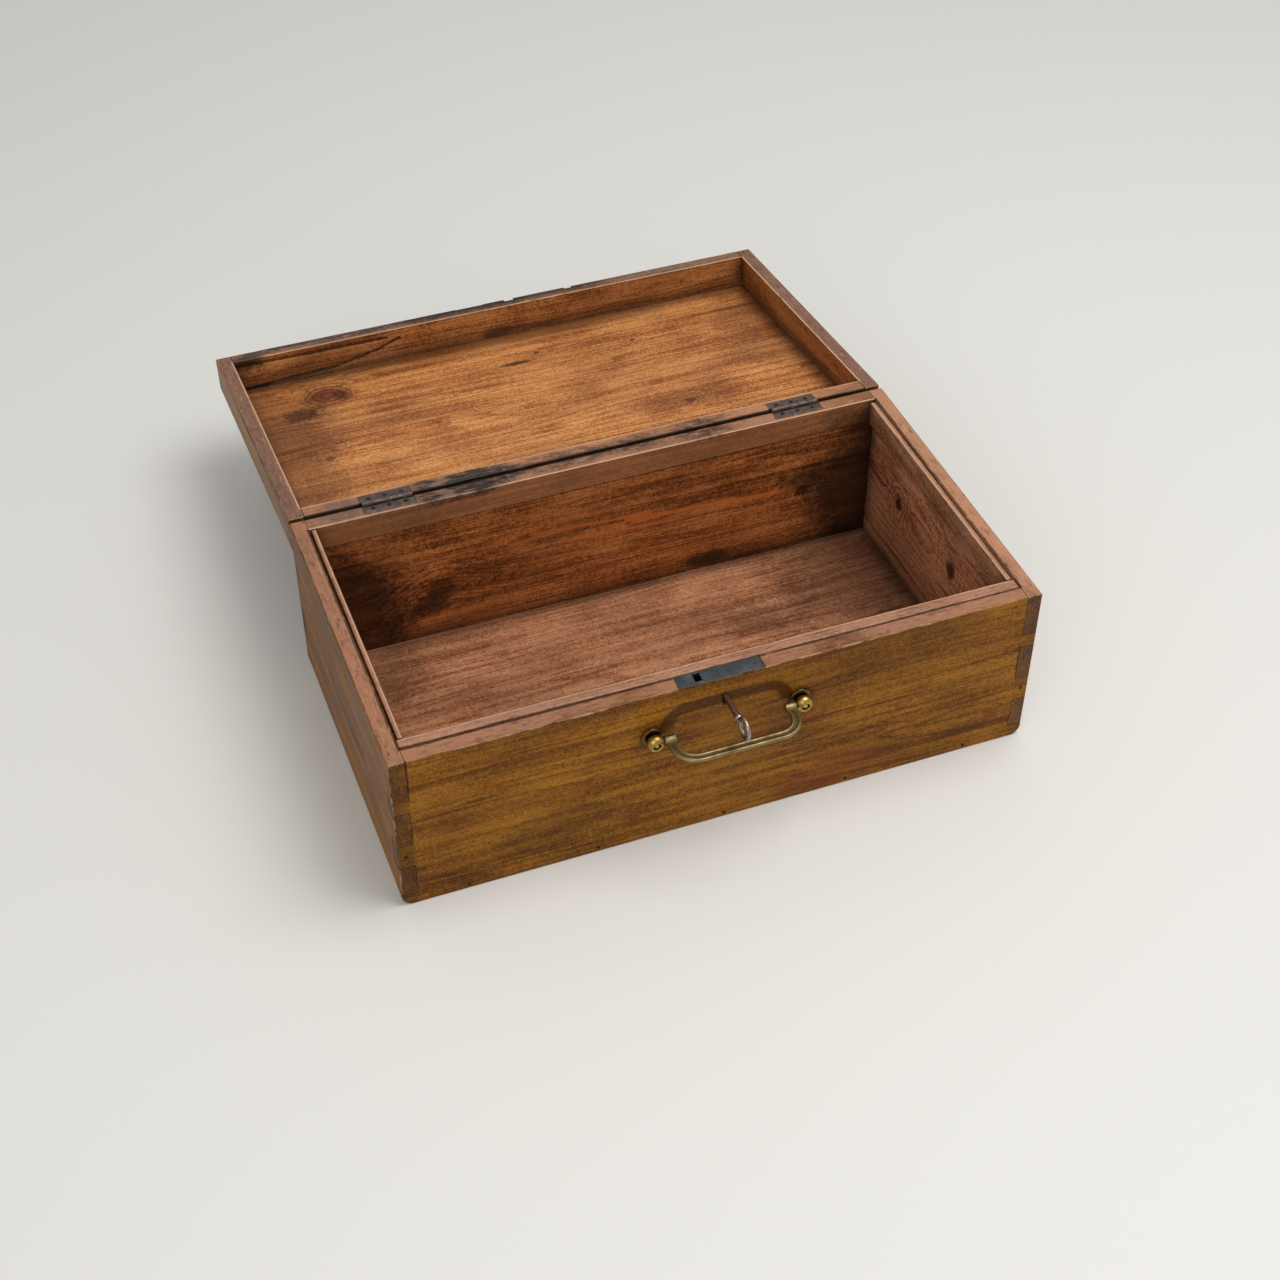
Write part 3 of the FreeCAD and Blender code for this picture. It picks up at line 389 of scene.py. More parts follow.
def wear(wood, outside, cavity, rim_height, rim_tone, lip_tone=WORN_TONE):
    """Pale arrises, a grey rim, dirty inner corners and a duller inside."""
    depth, edge = wood.face_distances(*outside)
    inner_depth, corner = wood.face_distances(*cavity)
    inside = wood.rise(inner_depth, -1.5, -0.5)
    handled = wood.rise(wood.noise(wood.stretch(120, 60), detail=4.0), 0.42, 0.68)
    wood.stain(handled, HANDLED_TONE, 0.3)
    shaded = wood.rise(wood.plus(edge, wood.cloud, 26.0), 30.0, 8.0)
    wood.stain(wood.times(shaded, wood.rise(depth, 1.5, 0.5)), DIRT_AND_SHADE_TONE, 0.3)
    ragged = wood.plus(corner, wood.grit, -9.0)
    wood.stain(wood.times(inside, wood.rise(ragged, 12.0, -6.0)), DIRT_AND_SHADE_TONE, 0.6)
    wood.roughness = wood.plus(wood.roughness, inside, 0.12)
    from_rim = wood.apart(wood.z, rim_height)
    upright = wood.parts(wood.coordinates.outputs["Normal"])[2]
    rim = wood.times(wood.rise(from_rim, 1.6, 0.8), wood.rise(upright, 0.8, 0.95))
    faded = wood.times(rim, wood.rise(wood.cloud, 0.15, 0.6))
    wood.stain(faded, rim_tone, 0.76)
    scuffs = wood.noise(wood.stretch(8, 2.0), detail=5.0, roughness=0.75)
    wood.stain(wood.times(rim, wood.rise(scuffs, 0.52, 0.66)), SCUFF_TONE, 0.62)
    wood.stain(wood.times(rim, wood.rise(scuffs, 0.42, 0.32)), WORN_TONE, 0.5)
    rubbed = wood.plus(edge, wood.cloud, 2.2)
    rubbed = wood.plus(rubbed, wood.grit, 1.6)
    arris = wood.times(wood.rise(rubbed, 3.2, 2.0), wood.rise(depth, 0.8, 0.4))
    crest = wood.marked("worn")
    broken = wood.noise(wood.stretch(24, 9), detail=4.0, roughness=0.7)
    edges = wood.times(wood.math("MAXIMUM", arris, crest), wood.rise(broken, 0.4, 0.62))
    wood.stain(edges, WORN_TONE, 0.55)
    # The lip along the rim's inner edge is pale wear with the pale tone. With the dark tone it is painted
    # shade of the gap beside the rim strips.
    lip = wood.plus(wood.math("ABSOLUTE", inner_depth), wood.grit, 1.2)
    lip = wood.times(rim, wood.rise(lip, 2.6, 1.5))
    wood.stain(wood.times(lip, wood.rise(broken, 0.3, 0.46)), lip_tone, 0.85)
    # The grooves between boards are darkened, as dirt and painted shade.
    wood.stain(wood.marked("seam"), DIRT_AND_SHADE_TONE, 0.9)
    pits(wood, 14, 0.3, 0.9, 0.75)
    pits(wood, 5, 0.35, 0.35, 0.5)


print("rim at", round(RIM, 1), "mm, lid ceiling at", round(LID_CEILING, 1), "mm with the lid shut")

# %% [markdown]
# ## The boards of the box
#
# The front has two marks of its own. A dark arch above the posts is painted shadow of the bail, which
# stands out from the face, and also the mark the bail has rubbed where it lies when it is folded up. The
# paler wood inside the arch is painted light from the floor below, and also wood the bail has kept
# clean. Dirt has gathered around the posts and along the lock plate. The arch is the bail's own outline,
# a rounded rectangle, so its distance is worked out in the same way as in a drawing program.

# %% Marks around the handle and the lock
bail_pivot = Vector(joints["bail_swing"]["pos_m"]) / MM
BAIL_HALF = Vector((46.5, 20.0))
BAIL_BEND = 16.0
BAIL_ARCH_WIDTH = 5.5


def on_front(wood):
    """1 on the outer face of the front, and 0 behind it."""
    return wood.rise(wood.y, FRONT + 2.0, FRONT + 1.0)


def bail_shadow_and_rub(wood):
    """The dark arch above the posts: painted shadow of the bail, and the mark the bail has rubbed."""
    sideways = wood.apart(wood.x, bail_pivot.x)
    upwards = wood.math("SUBTRACT", wood.z, bail_pivot.z)
    past_x = wood.math("SUBTRACT", sideways, BAIL_HALF.x - BAIL_BEND)
    past_z = wood.math("SUBTRACT", upwards, BAIL_HALF.y - BAIL_BEND)
    beyond = wood.add("CombineXYZ", {0: past_x, 2: past_z}).outputs[0]
    corner = wood.vector("LENGTH", wood.vector("MAXIMUM", beyond, (0, 0, 0)))
    inner = wood.math("MINIMUM", wood.math("MAXIMUM", past_x, past_z), 0.0)
    outline = wood.math("ADD", corner, inner)
    band = wood.apart(outline, BAIL_BEND)
    band = wood.plus(band, wood.cloud, 4.0)
    arch = wood.times(wood.rise(band, BAIL_ARCH_WIDTH + 3.5, BAIL_ARCH_WIDTH), wood.rise(upwards, -2.0, 8.0))
    return wood.times(arch, on_front(wood))


def bail_light_and_shelter(wood):
    """The paler wood inside the arch: painted light from the floor, and wood the folded bail has kept
    clean.
    """
    near = wood.nearness((bail_pivot.x, 0, bail_pivot.z), (34, 0, 16))
    near = wood.plus(near, wood.cloud, 0.5)
    return wood.times(wood.rise(near, 1.3, 0.7), on_front(wood))


def grime_around(wood, low, high):
    """A dark line where dirt has packed around a fitting."""
    middle, half = (low + high) / 2, (high - low) / 2
    offset = wood.vector("ABSOLUTE", wood.vector("SUBTRACT", wood.place, middle))
    past = wood.vector("MAXIMUM", wood.vector("SUBTRACT", offset, half), (0, 0, 0))
    return wood.rise(wood.plus(wood.vector("LENGTH", past), wood.grit, 1.5), 2.6, 0.9)


print("the bail swings at", [round(value, 1) for value in bail_pivot], "mm")

# %% [markdown]
# The front's grain runs along X. Its pith lies well behind the board, so the rings cross it nearly flat.
# Knocks have left a few scars, each a straight run between two points, and its left corner is darker.

# %% Front board
WALL_TONES = tone(84, 42, 16), tone(154, 88, 42), tone(204, 128, 70)
BOX_RIM_TONE = tone(172, 123, 98)
FAR = 2000.0
BOX_OUTSIDE = (-SIDE, FRONT, 0), (SIDE, BACK, RIM)
BOX_CAVITY = (-SIDE_INSIDE, FRONT_INSIDE, FLOOR), (SIDE_INSIDE, BACK_INSIDE, FAR)
POSTS = "left_handle_post", "right_handle_post"
SCARS = (
    ((-SIDE + 12.4, RIM), (-SIDE + 12.4, RIM - 31), 1.6),
    ((SIDE - 12.4, 96), (SIDE - 12.4, 68), 1.5),
    ((-234, 50), (-209, 32), 0.9),
    ((60, 44), (150, 58), 0.8),
    ((-110, 66), (-40, 71), 0.8),
)


def centre_of(node):
    low, high = corners(node)
    return (low + high) / 2


def run_distance(wood, start, end):
    """Distance from a straight run between two points of an upright face, given as x and z."""
    run = Vector((end[0] - start[0], 0, end[1] - start[1]))
    away = wood.vector("SUBTRACT", wood.place, (start[0], 0, start[1]))
    share = wood.math("DIVIDE", wood.vector("DOT_PRODUCT", away, run), run.length_squared)
    share = wood.math("MINIMUM", wood.math("MAXIMUM", share, 0.0), 1.0)
    along = wood.vector("SCALE", run)
    wood.put(along.node.inputs["Scale"], share)
    gap = wood.vector("SUBTRACT", away, along)
    return wood.vector("LENGTH", wood.vector("MULTIPLY", gap, (1, 0, 1)))


front_pine = Pine("front pine", "X", (FRONT + 85, 58), WALL_TONES, oiled=BOX_OUTSIDE)
# The dark lip on this board is painted shade of the gap beside its rim strip.
wear(front_pine, BOX_OUTSIDE, BOX_CAVITY, RIM, BOX_RIM_TONE, DIRT_AND_SHADE_TONE)
# Painted shadow of the bail with its rub mark, then painted light from the floor inside the arch.
front_pine.stain(bail_shadow_and_rub(front_pine), tone(56, 24, 6), 0.78)
front_pine.stain(bail_light_and_shelter(front_pine), tone(142, 94, 30), 0.35)
for post in POSTS:
    middle = centre_of(post)
    ring_of_dirt = front_pine.nearness((middle.x, 0, middle.z), (13, 0, 13))
    front_pine.stain(front_pine.rise(ring_of_dirt, 1.0, 0.5), DIRT_AND_SHADE_TONE, 0.7)
front_pine.stain(grime_around(front_pine, *corners("lock_plate")), DIRT_AND_SHADE_TONE, 0.8)
front_pine.patches(
    ((87, FRONT, 18), (60, 30, 26), 0.8, tone(118, 52, 24), 0.4),
    ((-150, FRONT, 34), (90, 30, 30), 1.2, tone(50, 27, 8), 0.35),
    ((-187, FRONT, 89), (26, 30, 2.5), 1.2, DIRT_AND_SHADE_TONE, 0.6),
)
front_face = on_front(front_pine)
corner_band = front_pine.times(front_face, front_pine.rise(front_pine.x, 14 - SIDE, 11 - SIDE))
front_pine.stain(corner_band, tone(50, 28, 8), 0.4)
for start, end, width in SCARS:
    gap = front_pine.plus(run_distance(front_pine, start, end), front_pine.grit, 1.6)
    scar = front_pine.times(front_face, front_pine.rise(gap, width + 0.5, width * 0.5 + 0.3))
    front_pine.stain(scar, DIRT_AND_SHADE_TONE, 0.7)
    front_pine.dent(scar, 1.5)
front_finish = front_pine.close(shine=0.1)

# %% [markdown]
# The back board is the liveliest: a big knot low on the left, thin orange streaks of resin, and a paler
# band under the rim where a strip was once nailed. The dark line at the band's foot is painted shadow, as
# the lower edge of a strip casts it, and the board's right end is darkened as painted shade.

# %% Back board
GHOST_FOOT = RIM - 21.5
RESIN_STREAKS = ((-60, 88), (40, 82), 2.2), ((20, 80), (170, 70), 2.6), ((-30, 73), (70, 68), 1.6)
back_knots = (
    ((-139, BACK_INSIDE, 54), (25, 0, 20)),
    ((8, BACK_INSIDE, 84), (6, 0, 5)),
    ((176, BACK_INSIDE, 67), (10, 0, 8)),
)
back_pith = BACK_INSIDE + 60, 92
back_pine = Pine("back pine", "X", back_pith, WALL_TONES, back_knots, ring=4.2, oiled=BOX_OUTSIDE)
on_wall = back_pine.rise(back_pine.y, BACK_INSIDE + 1.0, BACK_INSIDE + 0.3)
for start, end, width in RESIN_STREAKS:
    gap = back_pine.plus(run_distance(back_pine, start, end), back_pine.grit, 3.5)
    resin = back_pine.times(on_wall, back_pine.rise(gap, width + 2.2, width))
    back_pine.stain(resin, tone(214, 112, 48), 0.7)
ghost = back_pine.times(on_wall, back_pine.rise(back_pine.z, GHOST_FOOT - 0.4, GHOST_FOOT + 0.4))
back_pine.stain(ghost, tone(150, 108, 76), 0.55)
# Painted shadow: a dark line at the foot of the pale band.
strip_shadow_line = back_pine.apart(back_pine.z, GHOST_FOOT)
strip_shadow_line = back_pine.plus(strip_shadow_line, back_pine.grit, 1.2)
back_pine.stain(back_pine.times(on_wall, back_pine.rise(strip_shadow_line, 1.7, 0.7)), DIRT_AND_SHADE_TONE, 0.7)
back_pine.patches(
    ((-147, BACK_INSIDE, 42), (20, 20, 16), 0.8, DIRT_AND_SHADE_TONE, 0.75),
    ((92, BACK_INSIDE, 17), (36, 20, 12), 0.8, DIRT_AND_SHADE_TONE, 0.8),
    ((180, BACK_INSIDE, 78), (30, 20, 22), 0.8, DIRT_AND_SHADE_TONE, 0.6),
    # Painted shade: the right end of the back, shaded by the right side.
    ((225, BACK_INSIDE, 60), (76, 20, 95), 0.8, DIRT_AND_SHADE_TONE, 0.85),
    ((-225, BACK_INSIDE, 60), (90, 20, 90), 0.8, DIRT_AND_SHADE_TONE, 0.8),
    ((-200, BACK_INSIDE, 19), (46, 20, 18), 0.8, DIRT_AND_SHADE_TONE, 0.5),
)
wear(back_pine, BOX_OUTSIDE, BOX_CAVITY, RIM, BOX_RIM_TONE)
print("the ghost of the strip ends", round(RIM - GHOST_FOOT, 1), "mm below the rim")

# %% [markdown]
# The rim by the hinges is marked with soot, and grime has packed around the knuckles on the back. The
# lid's rails have such marks too, so these are helpers that take the height of either rim.

# %% Soot and grime by the hinges
SOOT_TONE, GREY_TONE = tone(38, 31, 29), tone(104, 88, 82)
HINGE_SOOT = (
    ((-118, BACK), (58, 20, 9), 0.9),
    ((-20, BACK), (120, 12, 8), 0.7),
    ((86, BACK), (30, 16, 8), 0.85),
)


def soot(wood, marks, rim_height):
    """Sooty marks on the rim by the hinges, worn through in places."""
    grey = wood.blot((-150, BACK, rim_height), (130, 18, 8), 1.2)
    wood.stain(grey, GREY_TONE, 0.5)
    worn_through = wood.noise(wood.stretch(11, 3.5), detail=5.0, roughness=0.7)
    left = wood.rise(worn_through, 0.38, 0.56)
    for (x, y), reach, strength in marks:
        mark = wood.times(wood.blot((x, y, rim_height), reach, 1.6), left)
        wood.stain(mark, SOOT_TONE, strength)


def hinge_grime(wood, rim_height):
    """Grime on the back faces just below the rim, where the hinge's knuckles lie."""
    from_rim = wood.plus(wood.apart(wood.z, rim_height), wood.grit, 5.0)
    on_back = wood.rise(wood.y, BACK - 1.2, BACK - 0.5)
    wood.stain(wood.times(on_back, wood.rise(from_rim, 9.0, 4.0)), DIRT_AND_SHADE_TONE, 0.85)


soot(back_pine, HINGE_SOOT, RIM)
hinge_grime(back_pine, RIM)
for side in ("left", "right"):
    back_pine.stain(grime_around(back_pine, *corners(side + "_hinge_box_leaf")), DIRT_AND_SHADE_TONE, 0.75)
back_finish = back_pine.close()

# %% [markdown]
# The two sides have their grain along Y, so their ends show on the front as the darker tails of the
# dovetails. The right one has two red knots on its inside.

# %% Sides
SIDE_WALL_TONES = tone(108, 64, 42), tone(182, 122, 86), tone(220, 162, 122)
RIGHT_RIM_TONE = tone(194, 140, 110)
right_knots = (
    ((SIDE_INSIDE, 68, 77), (0, 9, 10)),
    ((SIDE_INSIDE, -25, 81), (0, 11, 11)),
)
left_pine = Pine("left side pine", "Y", (SIDE - 70, 66), SIDE_WALL_TONES, oiled=BOX_OUTSIDE)
# The dark lip on this board is painted shade of the gap beside its rim strip.
wear(left_pine, BOX_OUTSIDE, BOX_CAVITY, RIM, BOX_RIM_TONE, DIRT_AND_SHADE_TONE)
left_finish = left_pine.close(shine=0.12)
right_pine = Pine("right side pine", "Y", (-SIDE - 60, 84), SIDE_WALL_TONES, right_knots, oiled=BOX_OUTSIDE)
# The dark lip on this board is painted shade of the gap beside its rim strip.
wear(right_pine, BOX_OUTSIDE, BOX_CAVITY, RIM, RIGHT_RIM_TONE, DIRT_AND_SHADE_TONE)
right_pine.patches(
    ((SIDE_INSIDE, -25, 79), (9, 8, 14), 1.2, DIRT_AND_SHADE_TONE, 0.75),
    ((SIDE_INSIDE, 68, 77), (9, 5, 9), 1.2, DIRT_AND_SHADE_TONE, 0.6),
)
right_finish = right_pine.close()

# %% [markdown]
# The floor of the box is scuffed and dusty, a little pinker and flatter than the walls.

# %% Bottom board
FLOOR_TONES = tone(116, 68, 40), tone(170, 111, 74), tone(204, 146, 108)
DUST_TONE = tone(176, 136, 112)
floor_pine = Pine("bottom pine", "X", (20, -60), FLOOR_TONES)
floor_pine.patches(
    ((107, 53, FLOOR), (34, 26, 20), 1.4, DIRT_AND_SHADE_TONE, 0.35),
    # Painted shade in the back right corner of the box's floor.
    ((205, 70, FLOOR), (90, 90, 20), 0.8, tone(60, 32, 22), 0.5),
    ((-205, 90, FLOOR), (60, 46, 20), 1.2, tone(54, 30, 20), 0.4),
)
scuffs = floor_pine.noise(floor_pine.stretch(16, 5), detail=5.0, roughness=0.7)
floor_pine.stain(floor_pine.rise(scuffs, 0.52, 0.75), DUST_TONE, 0.35)
wear(floor_pine, BOX_OUTSIDE, BOX_CAVITY, RIM, BOX_RIM_TONE)
floor_pine.roughness = floor_pine.math("ADD", floor_pine.roughness, 0.1)
floor_finish = floor_pine.close()

# %% [markdown]
# The strips inside the rim are a later, paler addition, worn along their top edges.

# %% Rim strips
STRIP_TONES = tone(104, 64, 42), tone(150, 102, 74), tone(186, 140, 110)
STRIP_TOP = corners("front_rim_strip")[1].z
STRIP_LOW = corners("left_rim_strip")[1].x, corners("front_rim_strip")[1].y, FLOOR
STRIP_CAVITY = STRIP_LOW, (corners("right_rim_strip")[0].x, BACK_INSIDE, FAR)
strip_finishes = {}
for grain in ("X", "Y"):
    strip_pine = Pine("strip pine " + grain, grain, (40, 150), STRIP_TONES, ring=2.6)
    wear(strip_pine, BOX_OUTSIDE, STRIP_CAVITY, STRIP_TOP, BOX_RIM_TONE)
    strip_finishes[grain] = strip_pine.close()

# %% [markdown]
# ## The boards of the lid
#
# The lid's panel is the lightest wood, because it has been shut away. It has a red knot with a rough
# patch beside it, a few small knots and one black mark. Fine rings make the knot look sawn through, and
# the rough patch is short streaks of noise, since torn grain tears along the fibres.

# %% Lid panel
PANEL_TONES = tone(130, 70, 32), tone(192, 121, 64), tone(226, 160, 96)
LID_RIM_TONE = tone(136, 101, 86)
LID_OUTSIDE = (-SIDE, FRONT, LID_RIM), (SIDE, BACK, LID_TOP)
LID_CAVITY = (-LID_INSIDE, FRONT_INSIDE, -FAR), (LID_INSIDE, BACK_INSIDE, LID_CEILING)


def knot_rings(wood, centre, reach, strength):
    """The fine dark rings of a sawn branch, ragged and fading outwards."""
    near = wood.nearness(centre, reach)
    phase = wood.plus(wood.times(wood.cloud, 16.0), near, 22.0)
    phase = wood.plus(phase, wood.grit, 3.0)
    lines = wood.rise(wood.math("SINE", phase), 0.1, 0.9)
    wood.stain(wood.times(lines, wood.rise(near, 1.2, 0.7)), tone(62, 30, 18), strength)


def streaks(wood, centre, reach, strength):
    """Rough torn grain, as short black streaks in a ragged patch."""
    torn = wood.rise(wood.noise(wood.stretch(7, 1.3), detail=3.0, roughness=0.7), 0.5, 0.6)
    torn = wood.times(torn, wood.blot(centre, reach, 1.2))
    wood.stain(torn, tone(30, 17, 11), strength)
    wood.dent(torn, 2.0)


panel_knots = (
    ((-168, -87, LID_CEILING), (19, 14, 0)),
    ((-190, 16, LID_CEILING), (6, 6, 0)),
    ((116, 50, LID_CEILING), (7, 6, 0)),
    ((22, -83, LID_CEILING), (4, 4, 0)),
    ((108, -70, LID_CEILING), (4, 4, 0)),
)
panel_pith = 10, LID_CEILING - 75
panel_pine = Pine("lid panel pine", "X", panel_pith, PANEL_TONES, panel_knots, True, oiled=LID_OUTSIDE)
panel_pine.patches(
    ((-197, -61, LID_CEILING), (17, 12, 9), 1.2, DIRT_AND_SHADE_TONE, 0.7),
    ((-1, -72, LID_CEILING), (21, 5, 6), 0.9, DIRT_AND_SHADE_TONE, 0.85),
    ((-168, -87, LID_CEILING), (32, 22, 9), 0.8, tone(120, 50, 30), 0.6),
    ((-225, -20, LID_CEILING), (70, 150, 9), 0.8, tone(90, 46, 22), 0.5),
    ((225, -40, LID_CEILING), (60, 120, 9), 0.8, tone(84, 42, 20), 0.36),
    # Painted shadow along the far rail, at the panel's front edge.
    ((0, -125, LID_CEILING), (260, 34, 9), 0.8, tone(84, 44, 22), 0.45),
    ((-165, -88, LID_CEILING), (10, 8, 9), 1.2, tone(150, 72, 52), 0.7),
)
knot_rings(panel_pine, (-166, -87, LID_CEILING), (24, 20, 0), 0.6)
panel_pine.patches(((-156, -84, LID_CEILING), (9, 14, 9), 1.2, tone(52, 26, 18), 0.55))
streaks(panel_pine, (-197, -62, LID_CEILING), (30, 16, 9), 0.8)
wear(panel_pine, LID_OUTSIDE, LID_CAVITY, LID_RIM, LID_RIM_TONE)
panel_finish = panel_pine.close()

# %% [markdown]
# The rail across the lid's far side has split. Two dark cracks run from its left end, and the piece
# between them is nearly loose. A crack is kept as a few straight runs, given as x and z on the rail's
# inner face: the finish darkens the wood along them here, and the shape is cut along them later.

# %% Lid's far rail
RAIL_TONES = tone(96, 50, 20), tone(150, 90, 44), tone(186, 122, 70)
FAR_SOOT = ((-150, FRONT), (120, 14, 9), 0.75), ((-215, FRONT), (40, 16, 9), 0.6)
CRACKS = (
    ((-238, 174), (-190, 171), (-150, 169), (-110, 161), (-90, 154)),
    ((-238, 150), (-102, 151.5)),
)
far_pine = Pine("lid front rail pine", "X", (FRONT - 40, LID_RIM), RAIL_TONES, lid=True, oiled=LID_OUTSIDE)
on_inside = far_pine.rise(far_pine.y, FRONT_INSIDE - 1.5, FRONT_INSIDE - 0.5)
for line in CRACKS:
    for start, end in zip(line, line[1:]):
        gap = far_pine.plus(run_distance(far_pine, start, end), far_pine.grit, 2.2)
        gap = far_pine.plus(gap, far_pine.cloud, 3.0)
        # Along the cracks the wood is darkened by dirt and by painted shade.
        dark = far_pine.times(on_inside, far_pine.rise(gap, 5.0, 3.5))
        far_pine.stain(dark, DIRT_AND_SHADE_TONE, 0.92)
wear(far_pine, LID_OUTSIDE, LID_CAVITY, LID_RIM, LID_RIM_TONE)
soot(far_pine, FAR_SOOT, LID_RIM)
far_pine.patches(
    ((-24, FRONT, LID_RIM), (66, 15, 9), 1.4, DIRT_AND_SHADE_TONE, 0.85),
    ((50, FRONT, LID_RIM), (60, 10, 7), 1.4, DIRT_AND_SHADE_TONE, 0.7),
    ((-226, FRONT_INSIDE, LID_RIM), (26, 12, 16), 1.2, DIRT_AND_SHADE_TONE, 0.8),
    ((-2, FRONT_INSIDE, LID_CEILING - 5), (18, 9, 7), 0.8, DIRT_AND_SHADE_TONE, 0.6),
)
far_finish = far_pine.close()

# %% [markdown]
# The rail by the hinges has a warm, rubbed rim with the same soot as the box. The two end rails run along
# Y, and share one finish.

# %% Lid's other rails
NEAR_RIM_TONE = tone(194, 134, 98)
near_pith = BACK - 50, LID_RIM + 30
near_pine = Pine("lid back rail pine", "X", near_pith, RAIL_TONES, lid=True, oiled=LID_OUTSIDE)
wear(near_pine, LID_OUTSIDE, LID_CAVITY, LID_RIM, NEAR_RIM_TONE)
soot(near_pine, HINGE_SOOT, LID_RIM)
hinge_grime(near_pine, LID_RIM)
for side in ("left", "right"):
    near_pine.stain(grime_around(near_pine, *shut_corners(side + "_hinge_lid_leaf")), DIRT_AND_SHADE_TONE, 0.75)
near_finish = near_pine.close()

end_pine = Pine("lid end rail pine", "Y", (0, LID_RIM + 60), RAIL_TONES, lid=True, oiled=LID_OUTSIDE)
wear(end_pine, LID_OUTSIDE, LID_CAVITY, LID_RIM, LID_RIM_TONE)
end_finish = end_pine.close()

# %% [markdown]
# ## Metal
#
# Old metal is two finishes in one: bright and smooth where it is handled, dull and rough where it isn't.
# Each piece carries a value at its points, called worn, which is 1 on the rounded edges and beads that
# hands and other pieces reach. Noise breaks it up, and a second noise pits the surface.

# %% Metal finishes
HOLLOW_TONE = tone(34, 23, 10)


def metal(name, bright, dull, smooth, rough, patch=9.0, hollows=()):
    """Worn metal, bright on its crests, dull elsewhere, and dirty in the hollows given.

    A hollow is a ring: its centre, axis, radius, half width, half length along the axis, and strength.
    """
    finish = Finish(name)
    place = finish.place_in_millimetres()
    worn = finish.marked("worn")
    patches = finish.noise(finish.vector("MULTIPLY", place, (1 / patch,) * 3), detail=5.0, roughness=0.65)
    grain = finish.noise(finish.vector("MULTIPLY", place, (2.2, 2.2, 2.2)), detail=3.0)
    share = finish.plus(finish.plus(-0.55, patches, 1.5), worn, 0.6)
    share = finish.rise(share, 0.0, 1.0)
    colour = finish.mix(share, dull, bright)
    for centre, axis, radius, width, depth, strength in hollows:
        away = finish.vector("SUBTRACT", place, centre)
        across = tuple(float(axis != other) for other in range(3))
        around = finish.vector("LENGTH", finish.vector("MULTIPLY", away, across))
        from_ring = finish.apart(around, radius)
        level = finish.rise(finish.math("ABSOLUTE", finish.parts(away)[axis]), depth, depth * 0.7)
        hollow = finish.times(finish.rise(from_ring, width, width * 0.6), level)
        colour = finish.mix(finish.times(hollow, strength), colour, HOLLOW_TONE)
    finish.put(finish.shader.inputs["Base Color"], colour)
    finish.put(finish.shader.inputs["Roughness"], finish.plus(rough, share, smooth - rough))
    finish.shader.inputs["Metallic"].default_value = 1.0
    pitted = finish.plus(grain, patches, 0.7)
    relief = {"Height": pitted, "Strength": 0.35, "Distance": 0.12 * MM}
    finish.put(finish.shader.inputs["Normal"], finish.add("Bump", relief).outputs[0])
    print("finish", name, "has", len(finish.tree.nodes), "nodes")
    return finish.material


post_hollows = []
for post in POSTS:
    x, _, z = centre_of(post)
    head = corners(post)[0].y
    post_hollows.append(((x, FRONT - 2.4, z), 1, 4.6, 1.4, 1.8, 1.0))
    post_hollows.append(((x, head + 1.2, z), 1, 2.6, 0.9, 0.9, 1.0))
    post_hollows.append(((x, FRONT, z), 1, 6.6, 3.4, 2.8, 0.75))
hinge_hollow = hinge_place, 0, 3.0, 1.1, 2 * SIDE, 0.9
post_brass = metal("post brass", tone(222, 186, 104), tone(112, 86, 40), 0.26, 0.46, 5.0, post_hollows)
bail_brass = metal("bail brass", tone(158, 140, 102), tone(100, 76, 38), 0.4, 0.6)
hinge_iron = metal("hinge iron", tone(186, 166, 154), tone(104, 90, 84), 0.38, 0.62, 7.0, [hinge_hollow])
lock_steel = metal("lock steel", tone(128, 134, 136), tone(74, 78, 80), 0.34, 0.52, patch=16.0)
key_steel = metal("key steel", tone(184, 164, 154), tone(98, 76, 66), 0.28, 0.5, patch=6.0)
screw_steel = metal("screw steel", tone(126, 120, 114), tone(58, 50, 44), 0.35, 0.58, patch=3.0)
nail_iron = metal("nail iron", tone(118, 82, 54), tone(70, 46, 30), 0.5, 0.75, patch=2.5)

# %% [markdown]
# ## Pieces with softened edges
#
# A CAD solid has knife edges, and no old box does. Each board is a copy of its node: the loose triangles
# are merged, and flat neighbours are joined into whole faces. The finished piece rides on the node's body
# and stands in for it. A weighted normal modifier shades the large faces flat and the roundings smooth.

# %% Copies of the nodes
MERGE_GAP = 0.001 * MM
FLAT_ANGLE = math.radians(0.5)


def merged_copy(node):
    """A node's mesh as whole faces, with its doubled points merged."""
    mesh = bmesh.new()
    mesh.from_mesh(frame["nodes"][node].data)
    bmesh.ops.remove_doubles(mesh, verts=mesh.verts, dist=MERGE_GAP)
    bmesh.ops.dissolve_limit(mesh, angle_limit=FLAT_ANGLE, verts=mesh.verts, edges=mesh.edges)
    return mesh


def finished_piece(mesh, node, finish, sharp=40):
    """Turns a mesh into the piece that stands for a node, on the node's own body."""
    data = bpy.data.meshes.new(node + "_piece")
    mesh.to_mesh(data)
    mesh.free()
    data.shade_smooth()
    data.set_sharp_from_angle(angle=math.radians(sharp))
    data.materials.clear()
    data.materials.append(finish)
    piece = bpy.data.objects.new(node + "_piece", data)
    bpy.context.scene.collection.objects.link(piece)
    even = piece.modifiers.new("even shading", "WEIGHTED_NORMAL")
    even.keep_sharp = True
    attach(piece, frame["nodes"][node]["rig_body"])
    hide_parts(node)
    print(piece.name, "has", len(data.polygons), "faces")


# %% [markdown]
# The sharp outer edges are then bevelled. Edges that meet are gathered into chains first, because a chain
# tells a board's long edges from the small loops around its nail holes, which stay sharp. A bevel of two
# segments leaves a line of points along its middle, and these crests are where a rubbed edge is palest.

# %% Edges to round
SHARP_ANGLE = math.radians(55)


